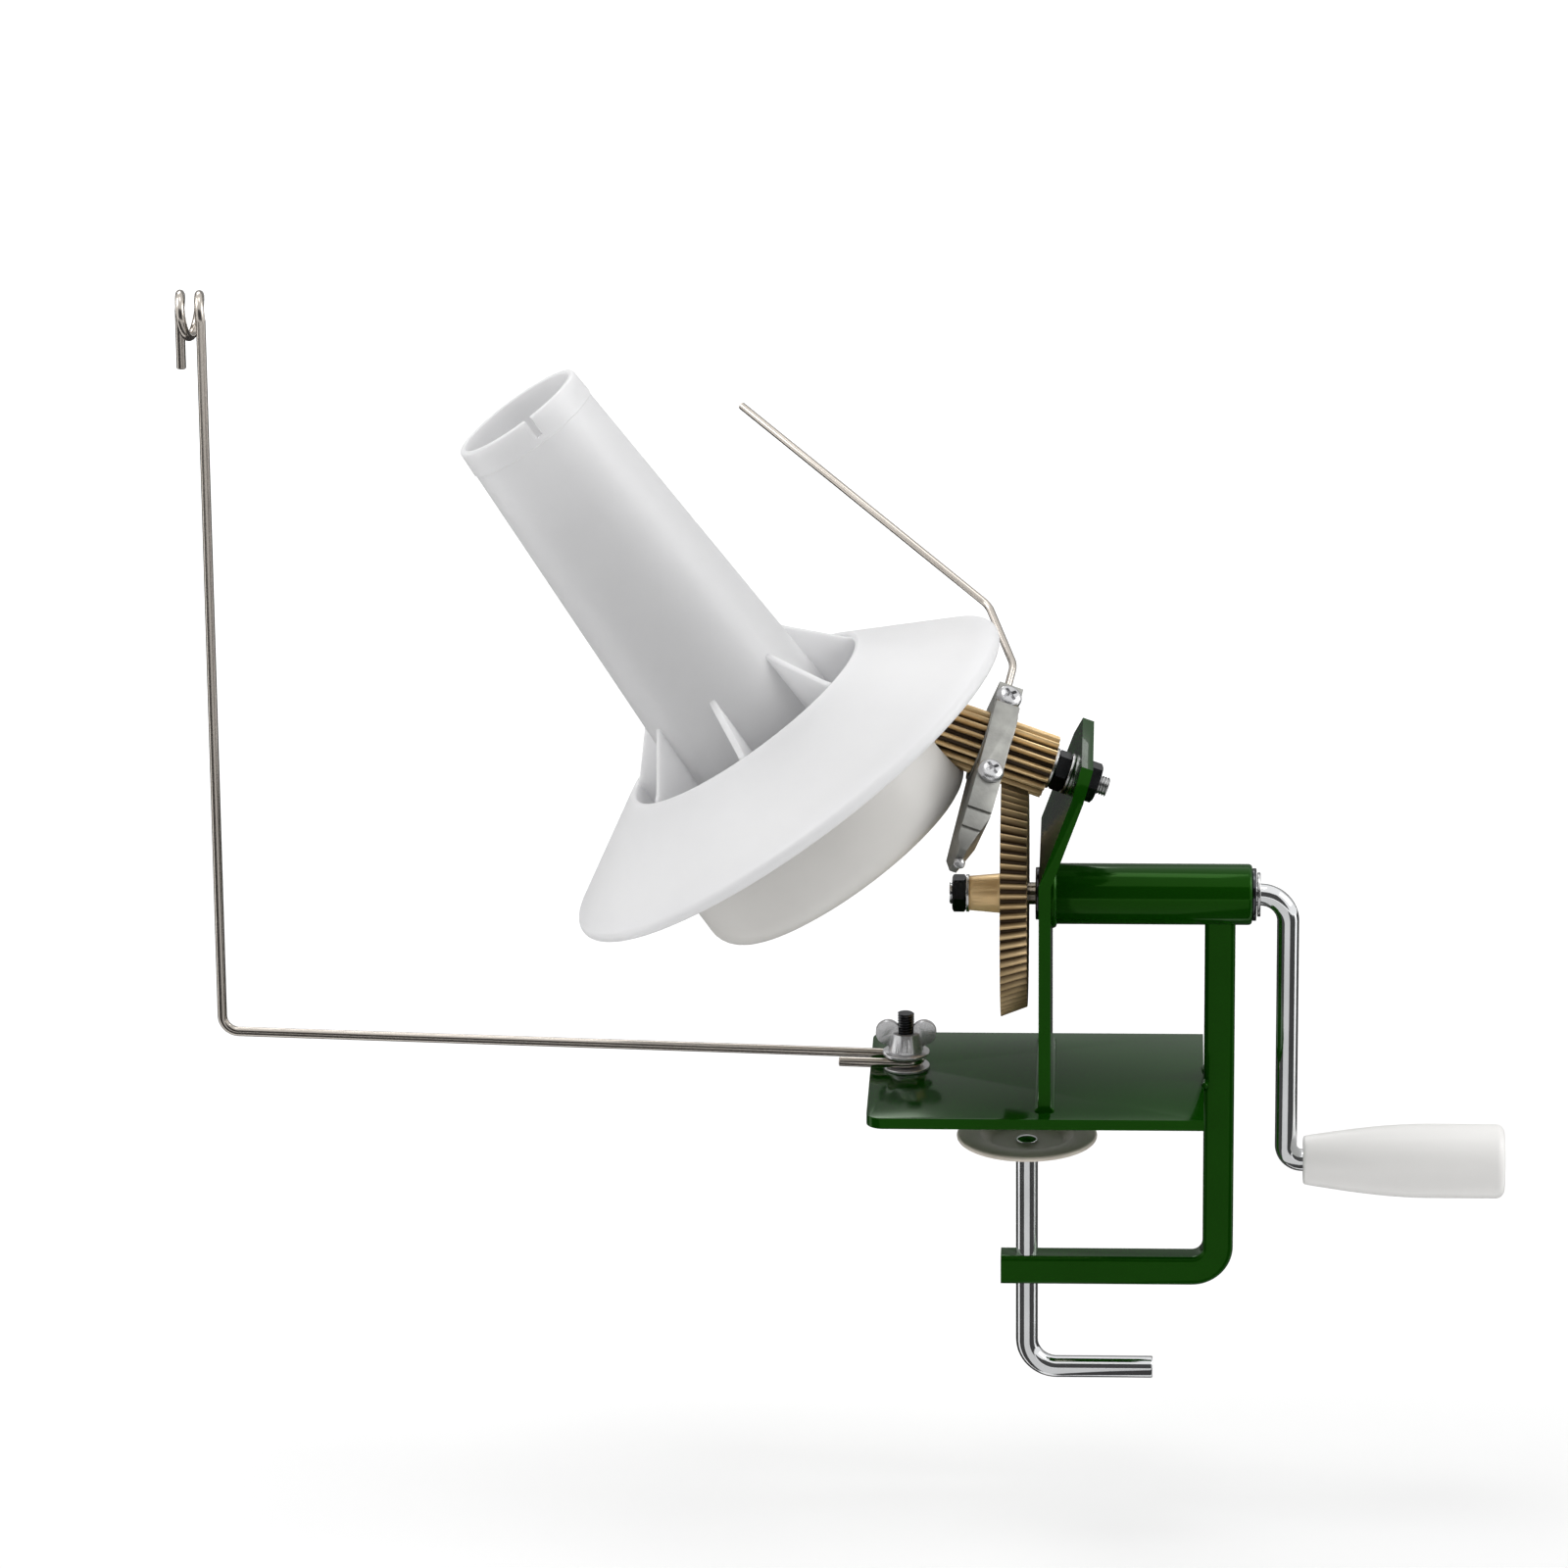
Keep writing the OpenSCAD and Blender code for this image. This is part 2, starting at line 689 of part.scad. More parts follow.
module flyer_arm() {
    flyer_top = flyer_low + flyer_thick;
    taper_x = -weight_reach * taper_start;
    color(zinc) difference() {
        union() {
            in_flyer_frame(flyer_low) linear_extrude(flyer_thick) polygon(concat(
                [[arm_half, arm_half], [flyer_reach, arm_half], [flyer_reach, -seat_half],
                    [seat_low, -seat_half], [seat_low, -front_half], [front_low, -front_half]],
                [for (bend = front_bends) [-weight_reach * bend[0], -bend[1]]],
                [[-weight_reach, -arm_half], [-weight_reach, arm_half], [-arm_half, collar_r - 3]]));
            in_flyer_frame(flyer_low - collar_lip) cylinder(r = collar_r, h = flyer_thick + 2 * collar_lip);
        }
        in_flyer_frame() rotate([90, 0, 0]) linear_extrude(4 * collar_r, center = true) {
            polygon([[taper_x, flyer_low], [-weight_reach, flyer_low + weight_taper],
                [-weight_reach - 1, flyer_low + weight_taper], [-weight_reach - 1, flyer_low - 1],
                [taper_x, flyer_low - 1]]);
            polygon([[weight_edge - weight_reach, flyer_top], [-weight_reach, flyer_top - weight_edge / 2],
                [-weight_reach - 1, flyer_top - weight_edge / 2], [-weight_reach - 1, flyer_top + 1],
                [weight_edge - weight_reach, flyer_top + 1]]);
        }
        in_flyer_frame(flyer_low - 1) cylinder(r = pinion_tip, h = flyer_thick + 2);
        in_flyer_frame(flyer_mid)
            translate([wire_start, 0, 0])
                rotate([0, 90, 0]) cylinder(d = wire_d + 2 * run_play, h = flyer_reach);
        for (spot = arm_screw_spots)
            in_flyer_frame(flyer_mid)
                translate([spot[0], 0, 0]) rotate([90, 0, 0]) cylinder(d = screw_size, h = 2 * collar_r);
        for (bend = front_bends)
            in_flyer_frame(flyer_low - 1)
                translate([-weight_reach * bend[0] - arm_groove_wide / 2, -front_half, 0])
                    cube([arm_groove_wide, front_half - bend[1] + arm_groove_deep, flyer_thick + 2]);
        in_flyer_frame(balance_s)
            translate([-weight_reach - 1, 0, 0])
                rotate([0, 90, 0]) cylinder(d = balance_d, h = balance_length + 1);
    }
}

wire_bend = 11;

// Wire points in the flyer frame: along the arm, out past the flange's rim, then over the flange
wire_out = flyer_reach + 18;
wire_knee = [70, 8, 26];
wire_tip = [142, 30, 132];
wire_route = [[wire_start, 0, flyer_mid], [wire_out, 0, flyer_mid], wire_knee, wire_tip];

module flyer_wire() {
    color(steel) in_flyer_frame() swept_tube(rounded_line(wire_route, wire_bend), wire_d / 2);
}

module arm_screws() {
    color(steel) for (spot = arm_screw_spots)
        in_flyer_frame(flyer_mid)
            translate([spot[0], -spot[1], 0])
                rotate([90, 0, 0]) pan_screw(screw_size, spot[1] - wire_d / 2 - run_play);
}

module balance_screw() {
    color(steel) in_flyer_frame(balance_s)
        translate([-weight_reach, 0, 0]) rotate([0, -90, 0]) {
            translate([0, 0, -balance_length]) cylinder(d = balance_d, h = balance_length);
            cylinder(d = balance_head_d, h = balance_head_t);
        }
}

// Winding cone: hollow tube in a ribbed well, inside a flange that slopes down to a rounded rim
mouth_r = mouth_d / 2;
foot_r = foot_d / 2;
mouth_h = flange_rise + tube_height;
rim_r = flange_d / 2;
rim_centre = [rim_r - rim_round, flange_rise - rim_round * cos(flange_slope)];
rim_top_r = rim_centre.x + rim_round * sin(flange_slope);
crown_h = flange_rise + (rim_top_r - crown_r) * tan(flange_slope);
crown_in = crown_r - shell;
slope_drop = shell / cos(flange_slope);
under_r = rim_r - 3 * rim_round;
under_h = flange_rise + (rim_top_r - under_r) * tan(flange_slope) - slope_drop;
crown_round = 1;
mouth_band = 10;
band_step = 0.4;
notch_w = 4;
notch_h = 7;
notch_turn = 289;
rib_turn = -88;

function tube_r(h) = foot_r + (mouth_r - foot_r) * (h - floor_top) / (mouth_h - floor_top);

module bobbin_cone() {
    color(white) in_cone_frame() {
        difference() {
            rotate_extrude() polygon(concat(
                [[0, floor_low], [well_r + shell, floor_low], [crown_r, crown_h - slope_drop],
                    [under_r, under_h], [under_r + shell / 2, rim_centre.y - rim_round]],
                arc(rim_centre, rim_round, -90, 90 - flange_slope, 10),
                arc([crown_in + crown_round, crown_h - crown_round], crown_round, 90, 180, 4),
                [[well_r, floor_top], [foot_r, floor_top],
                    [tube_r(mouth_h - mouth_band), mouth_h - mouth_band],
                    [tube_r(mouth_h - mouth_band) + band_step, mouth_h - mouth_band + band_step],
                    [mouth_r + band_step, mouth_h],
                    [mouth_r - shell, mouth_h], [foot_r - shell, floor_top], [0, floor_top]]));
            translate([0, 0, floor_low - 1]) cylinder(r = cone_bush_r, h = shell + 2);
            rotate([0, 0, notch_turn])
                translate([mouth_r - 2 * shell, -notch_w / 2, mouth_h - notch_h])
                    cube([4 * shell, notch_w, notch_h + 1]);
            for (i = [0 : 2])
                rotate([0, 0, 120 * i])
                    translate([screw_ring_r, 0, floor_low - 1]) cylinder(d = gear_screw_d, h = shell + 2);
        }
        for (i = [0 : rib_count - 1]) rotate([0, 0, rib_turn + 360 / rib_count * i]) cone_rib();
    }
}

// Gusset between the tube and the wall of the well, let into both
module cone_rib() {
    inset = 1;
    apex_h = crown_h + rib_height;
    rotate([90, 0, 0])
        linear_extrude(shell, center = true)
            polygon([[foot_r - inset, floor_top - inset], [well_r + inset, floor_top - inset],
                [crown_in + inset, crown_h - 3 * inset], [crown_in - inset, crown_h + inset],
                [tube_r(apex_h) - inset, apex_h]]);
}

// Bevel gear, screwed under the cone's floor by its raised hub
gear_screw_length = 10;
cone_bush_r = cone_hole_r + 2;
cone_hub_r = 18;
screw_ring_r = 12;
gear_screw_d = 4;

module cone_gear() {
    height = cone_face * cos(bevel);
    wide_r = cone_r + height / 2 * tan(bevel);
    narrow_r = cone_r - height / 2 * tan(bevel);
    color(brass) in_cone_frame() difference() {
        union() {
            translate([0, 0, -height / 2])
                linear_extrude(height, scale = narrow_r / wide_r)
                    polygon(straight_gear(cone_teeth, wide_r, bevel, wide_r / cone_r, 0));
            cylinder(r = cone_hub_r, h = floor_low);
        }
        translate([0, 0, -height]) cylinder(r = cone_bush_r, h = floor_low + 2 * height);
        for (i = [0 : 2])
            rotate([0, 0, 120 * i])
                translate([screw_ring_r, 0, floor_low - gear_screw_length])
                    cylinder(d = gear_screw_d, h = gear_screw_length + 1);
    }
}

module cone_bush() {
    height = cone_face * cos(bevel);
    color(black) in_cone_frame(-height / 2) ring(cone_bush_r, cone_hole_r, bush_top + height / 2);
}

module gear_screws() {
    color(steel) in_cone_frame(floor_top)
        for (i = [0 : 2])
            rotate([0, 0, 120 * i])
                translate([screw_ring_r, 0, 0]) pan_screw(gear_screw_d, gear_screw_length);
}

// Clamp screw with a bent handle, its neck riveted into the swivelling pad
pad_t = 2;
pad_dish = 5;
neck_d = screw_d - 2;
neck_low = -pad_drop - pad_dish - face_gap;
rivet_d = screw_d;
handle_z = arm_z - bar_size / 2 - handle_drop;
handle_bend = 11;

module clamp_screw() {
    color(steel) {
        rod_path([[0, 0, neck_low], [0, 0, handle_z], [handle_reach, 0, handle_z]], [handle_bend], screw_d);
        translate([0, 0, neck_low]) cylinder(d = neck_d, h = pad_t + 2 * face_gap);
        translate([0, 0, neck_low + pad_t + 2 * face_gap]) cylinder(d1 = rivet_d, d2 = rivet_d - 3, h = 1.5);
    }
}

module clamp_pad() {
    hole_r = neck_d / 2 + run_play;
    well_outer = pad_d * 0.29;
    top = -pad_drop;
    color(zinc) rotate_extrude() polygon([[hole_r, top - pad_dish], [well_outer, top - pad_dish],
        [well_outer + pad_dish - pad_t, top - pad_t], [pad_d / 2 - 1, top - pad_t - 1], [pad_d / 2, top - 1],
        [pad_d / 2 - 1.5, top], [well_outer + pad_dish - pad_t - 1, top],
        [well_outer - 1, top - pad_dish + pad_t], [hole_r, top - pad_dish + pad_t]]);
}

// Yarn guide: a rod with a hairpin round the stud, an upright run and an open eye
guide_turn_r = stud_d / 2 + face_gap + guide_d / 2;
guide_z = plate_thick + washer_t + face_gap + guide_d / 2;
guide_bend = 6;
hairpin_tail = 24;
eye_tail = 22;
eye_x = -guide_length;
eye_z = guide_z + guide_height;
eye_steps = 24;

module in_guide_frame() {
    translate([stud_x, stud_y, 0]) rotate([0, 0, -guide_turn]) children();
}

// Centre line of the eye: loops about an axis along the lower run, then a straight hanging end
function eye_point(turn) = [eye_x - eye_pitch * turn,
    guide_turn_r + eye_r - eye_r * cos(360 * turn),
    eye_z + eye_r * sin(360 * turn)];

eye_line = [for (k = [0 : eye_steps * eye_loops]) eye_point(k / eye_steps)];

// Centre line of the whole guide: hairpin, lower run, upright run, eye and hanging end
guide_line = concat(
    rounded_line([[-hairpin_tail, -guide_turn_r, guide_z],
        [guide_turn_r, -guide_turn_r, guide_z],
        [guide_turn_r, guide_turn_r, guide_z],
        [-guide_turn_r, guide_turn_r, guide_z]], guide_turn_r * 0.999),
    rounded_line([[-hairpin_tail, guide_turn_r, guide_z],
        [eye_x, guide_turn_r, guide_z],
        [eye_x, guide_turn_r, eye_z - guide_d]], guide_bend),
    eye_line,
    [eye_point(eye_loops) - [0, 0, eye_tail]]);

eye_gap = min([for (i = [0 : len(eye_line) - 1], j = [0 : len(eye_line) - 1])
    if (j > i + eye_steps / 2) norm(eye_line[i] - eye_line[j]) - guide_d]);
echo(least_gap_of_yarn_eye = eye_gap);

module guide_arm() {
    color(steel) in_guide_frame() swept_tube(guide_line, guide_d / 2);
}

// Washer and wing nut that clamp the guide
clamp_z = guide_z + guide_d / 2 + face_gap;
wing_body_r = 6.5;
wing_body_h = 7;
wing_t = 2.6;
wing_r = 5.5;

module nut_washer() {
    color(steel) translate([stud_x, stud_y, clamp_z])
        ring(guide_turn_r + guide_d, stud_d / 2 + run_play, washer_t);
}

module wing_nut() {
    color(zinc) translate([stud_x, stud_y, clamp_z + washer_t + face_gap / 3]) difference() {
        union() {
            cylinder(r1 = wing_body_r, r2 = wing_body_r - 1.5, h = wing_body_h);
            for (side = [0, 180])
                rotate([90, 0, side])
                    linear_extrude(wing_t, center = true) {
                        translate([wing_body_r, wing_body_h]) circle(r = wing_r - 1);
                        polygon([[0, 0.5], [wing_body_r - 1.5, 0.5],
                            [wing_body_r + wing_r - 1.5, wing_body_h - 1],
                            [wing_body_r, wing_body_h + 2], [0, wing_body_h - 1]]);
                    }
        }
        translate([0, 0, -1]) cylinder(r = stud_d / 2 + run_play, h = 3 * wing_body_h);
    }
}

base_plate();
gear_upright();
bearing_tube();
clamp_frame();
tube_bushes();
pinion_axle();
axle_nuts();
axle_washers();
gear_cover();
cone_axle();
cone_washers();
cone_nut();
guide_stud();
stud_washer();
crank_rod();
drive_gear();
gear_washer();
gear_nut();
thrust_washer();
handle_grip();
grip_retainer();
pinion();
flyer_arm();
flyer_wire();
arm_screws();
balance_screw();
bobbin_cone();
cone_gear();
cone_bush();
gear_screws();
clamp_screw();
clamp_pad();
guide_arm();
nut_washer();
wing_nut();
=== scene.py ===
# Hand-cranked yarn ball winder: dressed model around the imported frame
# shapes are given in millimetres, the studio in metres, angles in degrees
import bpy
import bmesh
from math import atan2, cos, pi, radians, sin, tan
from mathutils import Matrix, Vector


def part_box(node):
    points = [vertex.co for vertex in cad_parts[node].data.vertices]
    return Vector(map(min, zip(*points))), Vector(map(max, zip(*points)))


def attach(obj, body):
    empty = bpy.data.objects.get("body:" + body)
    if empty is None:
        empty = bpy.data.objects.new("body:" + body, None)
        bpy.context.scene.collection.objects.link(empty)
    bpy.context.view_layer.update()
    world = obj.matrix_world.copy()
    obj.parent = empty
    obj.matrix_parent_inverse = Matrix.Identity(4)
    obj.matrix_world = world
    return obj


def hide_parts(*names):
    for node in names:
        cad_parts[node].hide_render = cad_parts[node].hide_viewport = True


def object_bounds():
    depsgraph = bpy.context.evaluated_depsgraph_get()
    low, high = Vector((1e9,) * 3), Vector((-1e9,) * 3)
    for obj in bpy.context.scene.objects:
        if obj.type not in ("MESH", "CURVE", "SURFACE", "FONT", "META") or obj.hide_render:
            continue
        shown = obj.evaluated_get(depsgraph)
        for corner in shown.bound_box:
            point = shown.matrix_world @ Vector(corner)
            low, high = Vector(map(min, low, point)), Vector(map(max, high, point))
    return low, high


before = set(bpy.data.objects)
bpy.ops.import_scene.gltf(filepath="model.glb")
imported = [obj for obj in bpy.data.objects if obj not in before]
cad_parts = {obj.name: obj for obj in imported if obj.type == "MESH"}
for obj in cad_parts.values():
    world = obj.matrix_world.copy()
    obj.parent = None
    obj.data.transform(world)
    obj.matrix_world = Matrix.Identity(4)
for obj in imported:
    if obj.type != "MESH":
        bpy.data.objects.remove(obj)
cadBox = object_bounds()
scene = bpy.context.scene
mm = 0.001
seamGap = 1e-7   # metres; points nearer than this are one
solidGap = 2e-6  # the same, for copies of solids and for threads
print("frame loaded:", len(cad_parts), "solids")

# frames of the three shafts, as in the solids
shafts = {"crankHeight": 74.0, "pinionAt": (-0.8602, 125.1262), "pinionTilt": 20.0,
          "coneAt": (-71.8742, 97.8539), "coneTilt": 55.0, "flyerTurn": 58.0}


def levelFrame(x, z):
    return Matrix.Translation((x * mm, 0, z * mm)) @ Matrix.Rotation(pi / 2, 4, "Y")


def tiltedFrame(at, tilt, along):
    turn = Matrix.Rotation(radians(tilt - 90), 4, "Y")
    slide = Matrix.Translation((0, 0, along * mm))
    return Matrix.Translation((at[0] * mm, 0, at[1] * mm)) @ turn @ slide


def crankFrame(x=0.0):
    return levelFrame(x, shafts["crankHeight"])


def pinionFrame(s=0.0):
    return tiltedFrame(shafts["pinionAt"], shafts["pinionTilt"], s)


def flyerFrame(s=0.0):
    return pinionFrame(s) @ Matrix.Rotation(radians(shafts["flyerTurn"]), 4, "Z")


def coneFrame(h=0.0):
    return tiltedFrame(shafts["coneAt"], shafts["coneTilt"], h)


# camera from the photograph's own perspective
cameraSetup = {"azimuth": 2.521, "elevation": 18.534, "roll": -0.516, "distance": 3.0703,
               "target": (-0.0872, 0.0, 0.115016), "focalPixels": 8732.9, "imagePixels": 1600,
               "sensorWidth": 36.0}


def placeCamera(setup):
    az, el, roll = (radians(setup[k]) for k in ("azimuth", "elevation", "roll"))
    back = Vector((sin(az) * cos(el), -cos(az) * cos(el), sin(el)))
    right = Vector((cos(az), sin(az), 0))
    up = back.cross(right)
    side = right * cos(roll) + up * sin(roll)
    top = back.cross(side)
    eye = Vector(setup["target"]) + back * setup["distance"]
    lens = bpy.data.cameras.new("photoCamera")
    lens.sensor_width = setup["sensorWidth"]
    lens.lens = lens.sensor_width * setup["focalPixels"] / setup["imagePixels"]
    camera = bpy.data.objects.new("photoCamera", lens)
    camera.matrix_world = Matrix((
        (side.x, top.x, back.x, eye.x), (side.y, top.y, back.y, eye.y),
        (side.z, top.z, back.z, eye.z), (0, 0, 0, 1)))
    scene.collection.objects.link(camera)
    scene.camera = camera


placeCamera(cameraSetup)

# white studio: the floor looks white to the eye and keeps the shadow
studio = {"worldLight": 0.55, "floorTint": 0.80, "floorGlow": (0.21, 0.60),
          "glowReach": (0.4, 2.2), "floorDrop": 0.042, "floorSize": 14.0,
          "lampAim": (-0.08, 0.0, 0.1)}
lamps = {
    "leftSoftbox": {"at": (-2.2, 0.1, 2.1), "size": (1.5, 1.5), "watts": 27.0},
    "rightSoftbox": {"at": (2.4, 0.0, 1.5), "size": (1.5, 1.5), "watts": 29.0},
    "overhead": {"at": (0.0, 0.3, 3.0), "size": (1.4, 0.9), "watts": 8.8},
    "backSoftbox": {"at": (-0.9, 2.3, 2.0), "size": (1.4, 1.0), "watts": 14.0},
}
# dark flags, seen only in reflections, that give polished metal its streaks
# cards: centre, size, grey; floor sectors: start and sweep in degrees, grey
flags = {"cards": {"frontCard": ((0, -4.2, 2.4), (8.0, 4.6), 0.07),
                   "backCard": ((0, 3.2, 0.9), (7.0, 2.6), 0.34)},
         "floorSectors": {"frontSector": (-28.0, 56.0, 0.68), "rightSector": (28.0, 52.0, 0.06),
                          "leftSector": (-80.0, 52.0, 0.06), "backSector": (102.0, 156.0, 0.06)},
         "sectorReach": (0.012, 2.6), "sectorSteps": 16, "lift": 0.001}


def meshOf(name, bm):
    mesh = bpy.data.meshes.new(name)
    bm.to_mesh(mesh)
    bm.free()
    return mesh


def setOut(name, mesh, material):
    mesh.materials.append(material)
    thing = bpy.data.objects.new(name, mesh)
    scene.collection.objects.link(thing)
    return thing


def emptyTree(holder):
    holder.use_nodes = True
    holder.node_tree.nodes.clear()
    return holder.node_tree.nodes, holder.node_tree.links


def setSpan(node, side, span):
    for end, value in zip((" Min", " Max"), span):
        node.inputs[side + end].default_value = value


# 1 for what the eye, metal or glass sees, 0 for light on the object
def seenRays(nodes, links):
    path = nodes.new("ShaderNodeLightPath")
    seen = path.outputs["Is Camera Ray"]
    for ray in ("Is Glossy Ray", "Is Transmission Ray"):
        total = nodes.new("ShaderNodeMath")
        total.operation = "ADD"
        total.use_clamp = True
        links.new(seen, total.inputs[0])
        links.new(path.outputs[ray], total.inputs[1])
        seen = total.outputs[0]
    return seen


def lightWorld(settings):
    world = bpy.data.worlds.new("studioWorld")
    scene.world = world
    nodes, links = emptyTree(world)
    mix = nodes.new("ShaderNodeMixShader")
    links.new(seenRays(nodes, links), mix.inputs[0])
    for socket, strength in ((1, settings["worldLight"]), (2, 1.0)):
        sky = nodes.new("ShaderNodeBackground")
        sky.inputs["Color"].default_value = (1, 1, 1, 1)
        sky.inputs["Strength"].default_value = strength
        links.new(sky.outputs[0], mix.inputs[socket])
    out = nodes.new("ShaderNodeOutputWorld")
    links.new(mix.outputs[0], out.inputs[0])


def layFloor(settings, floorZ):
    bm = bmesh.new()
    bmesh.ops.create_grid(bm, x_segments=1, y_segments=1, size=settings["floorSize"])
    bmesh.ops.translate(bm, verts=bm.verts, vec=(0, 0, floorZ))
    paper = bpy.data.materials.new("studioPaper")
    nodes, links = emptyTree(paper)
    place = nodes.new("ShaderNodeTexCoord")
    away = nodes.new("ShaderNodeVectorMath")
    away.operation = "LENGTH"
    links.new(place.outputs["Object"], away.inputs[0])
    rise = nodes.new("ShaderNodeMapRange")  # less glow near the winder, where its shadow falls
    setSpan(rise, "From", settings["glowReach"])
    setSpan(rise, "To", settings["floorGlow"])
    links.new(away.outputs["Value"], rise.inputs["Value"])
    glow = nodes.new("ShaderNodeMath")
    glow.operation = "MULTIPLY"
    links.new(seenRays(nodes, links), glow.inputs[0])
    links.new(rise.outputs["Result"], glow.inputs[1])
    matte = nodes.new("ShaderNodeBsdfDiffuse")
    matte.inputs["Color"].default_value = (settings["floorTint"],) * 3 + (1,)
    shine = nodes.new("ShaderNodeEmission")
    links.new(glow.outputs[0], shine.inputs["Strength"])
    add = nodes.new("ShaderNodeAddShader")
    links.new(matte.outputs[0], add.inputs[0])
    links.new(shine.outputs[0], add.inputs[1])
    out = nodes.new("ShaderNodeOutputMaterial")
    links.new(add.outputs[0], out.inputs[0])
    floor = setOut("studioFloor", meshOf("studioFloor", bm), paper)


def hangLamp(name, lamp, aim):
    light = bpy.data.lights.new(name, "AREA")
    light.shape = "RECTANGLE"
    light.size, light.size_y = lamp["size"]
    light.energy = lamp["watts"]
    holder = bpy.data.objects.new(name, light)
    sight = Vector(aim) - Vector(lamp["at"])
    turn = sight.to_track_quat("-Z", "Y").to_matrix().to_4x4()
    holder.matrix_world = Matrix.Translation(lamp["at"]) @ turn
    scene.collection.objects.link(holder)


def hangFlag(name, bm, grey):
    felt = bpy.data.materials.new(name)
    nodes, links = emptyTree(felt)
    shine = nodes.new("ShaderNodeEmission")
    shine.inputs["Strength"].default_value = grey
    out = nodes.new("ShaderNodeOutputMaterial")
    links.new(shine.outputs[0], out.inputs[0])
    flag = setOut(name, meshOf(name, bm), felt)
    flag.visible_camera = flag.visible_diffuse = flag.visible_shadow = False
    flag.visible_transmission = flag.visible_volume_scatter = False


def hangFlags(settings, floorZ):
    upright = Matrix.Rotation(pi / 2, 3, "X")
    for name, (centre, size, grey) in settings["cards"].items():
        bm = bmesh.new()
        bmesh.ops.create_grid(bm, x_segments=1, y_segments=1, size=0.5)
        bmesh.ops.scale(bm, vec=(*size, 1), verts=bm.verts)
        bmesh.ops.rotate(bm, cent=(0, 0, 0), matrix=upright, verts=bm.verts)
        bmesh.ops.translate(bm, vec=centre, verts=bm.verts)
        hangFlag(name, bm, grey)
    height = floorZ + settings["lift"]
    for name, (start, sweep, grey) in settings["floorSectors"].items():
        bm = bmesh.new()
        ends = [bm.verts.new((0, -reach, height)) for reach in settings["sectorReach"]]
        edge = bm.edges.new(ends)
        turn = Matrix.Rotation(radians(start), 3, "Z")
        bmesh.ops.rotate(bm, cent=(0, 0, 0), matrix=turn, verts=ends)
        bmesh.ops.spin(bm, geom=ends + [edge], cent=(0, 0, 0), axis=(0, 0, 1),
                       angle=radians(sweep), steps=settings["sectorSteps"])
        hangFlag(name, bm, grey)


floorHeight = cadBox[0].z - studio["floorDrop"]
lightWorld(studio)
layFloor(studio, floorHeight)
hangFlags(flags, floorHeight)
for lampName, lamp in lamps.items():
    hangLamp(lampName, lamp, studio["lampAim"])
scene.view_settings.view_transform = "Standard"
print("studio ready")


# finishes: every one has colour drift, roughness drift and a fine grain
plainFinish = {"metallic": 0.0, "coat": 0.0, "coatRoughness": 0.05, "specular": 0.5,
               "sheenTint": (1, 1, 1), "glowThrough": 0.0, "glowDepth": 0.004,
               "driftBand": (0.3, 0.7), "driftDetail": 4, "roughShare": 0.35, "roughDetail": 3,
               "grainDetail": 2, "bumpDepth": 0.0002}


def mixFinish(name, own):
    look = {**plainFinish, **own}
    material = bpy.data.materials.new(name)
    material.use_nodes = True
    nodes, links = material.node_tree.nodes, material.node_tree.links
    shader = nodes["Principled BSDF"]
    sockets = {"Metallic": look["metallic"], "Coat Weight": look["coat"],
               "Coat Roughness": look["coatRoughness"], "Specular IOR Level": look["specular"],
               "Specular Tint": (*look["sheenTint"], 1), "Subsurface Weight": look["glowThrough"],
               "Subsurface Radius": (1.0, 1.0, 1.0), "Subsurface Scale": look["glowDepth"]}
    for socket, value in sockets.items():
        shader.inputs[socket].default_value = value
    place = nodes.new("ShaderNodeTexCoord")

    def noise(scale, detail):
        cloud = nodes.new("ShaderNodeTexNoise")
        cloud.inputs["Scale"].default_value = scale
        cloud.inputs["Detail"].default_value = detail
        links.new(place.outputs["Object"], cloud.inputs["Vector"])
        return cloud.outputs["Fac"]

    drift = nodes.new("ShaderNodeValToRGB")
    ends = (look["shade"], look["colour"])
    for stop, position, tone in zip(drift.color_ramp.elements, look["driftBand"], ends):
        stop.position = position
        stop.color = (*tone, 1)
    links.new(noise(look["driftScale"], look["driftDetail"]), drift.inputs["Fac"])
    colour = drift.outputs["Color"]
    if "groove" in look:  # painted shade in the gaps between teeth, from the piece's own attribute
        depth = nodes.new("ShaderNodeAttribute")
        depth.attribute_name = "groove"
        gapShade = nodes.new("ShaderNodeMix")
        gapShade.data_type = "RGBA"
        gapShade.inputs["B"].default_value = (*look["groove"], 1)
        links.new(depth.outputs["Fac"], gapShade.inputs["Factor"])
        links.new(colour, gapShade.inputs["A"])
        colour = gapShade.outputs["Result"]
    links.new(colour, shader.inputs["Base Color"])
    span = nodes.new("ShaderNodeMapRange")
    setSpan(span, "To", look["roughness"])
    patches = noise(look["grainScale"] * look["roughShare"], look["roughDetail"])
    links.new(patches, span.inputs["Value"])
    links.new(span.outputs["Result"], shader.inputs["Roughness"])
    bump = nodes.new("ShaderNodeBump")
    bump.inputs["Strength"].default_value = look["bump"]
    bump.inputs["Distance"].default_value = look["bumpDepth"]
    links.new(noise(look["grainScale"], look["grainDetail"]), bump.inputs["Height"])
    links.new(bump.outputs["Normal"], shader.inputs["Normal"])
    return material


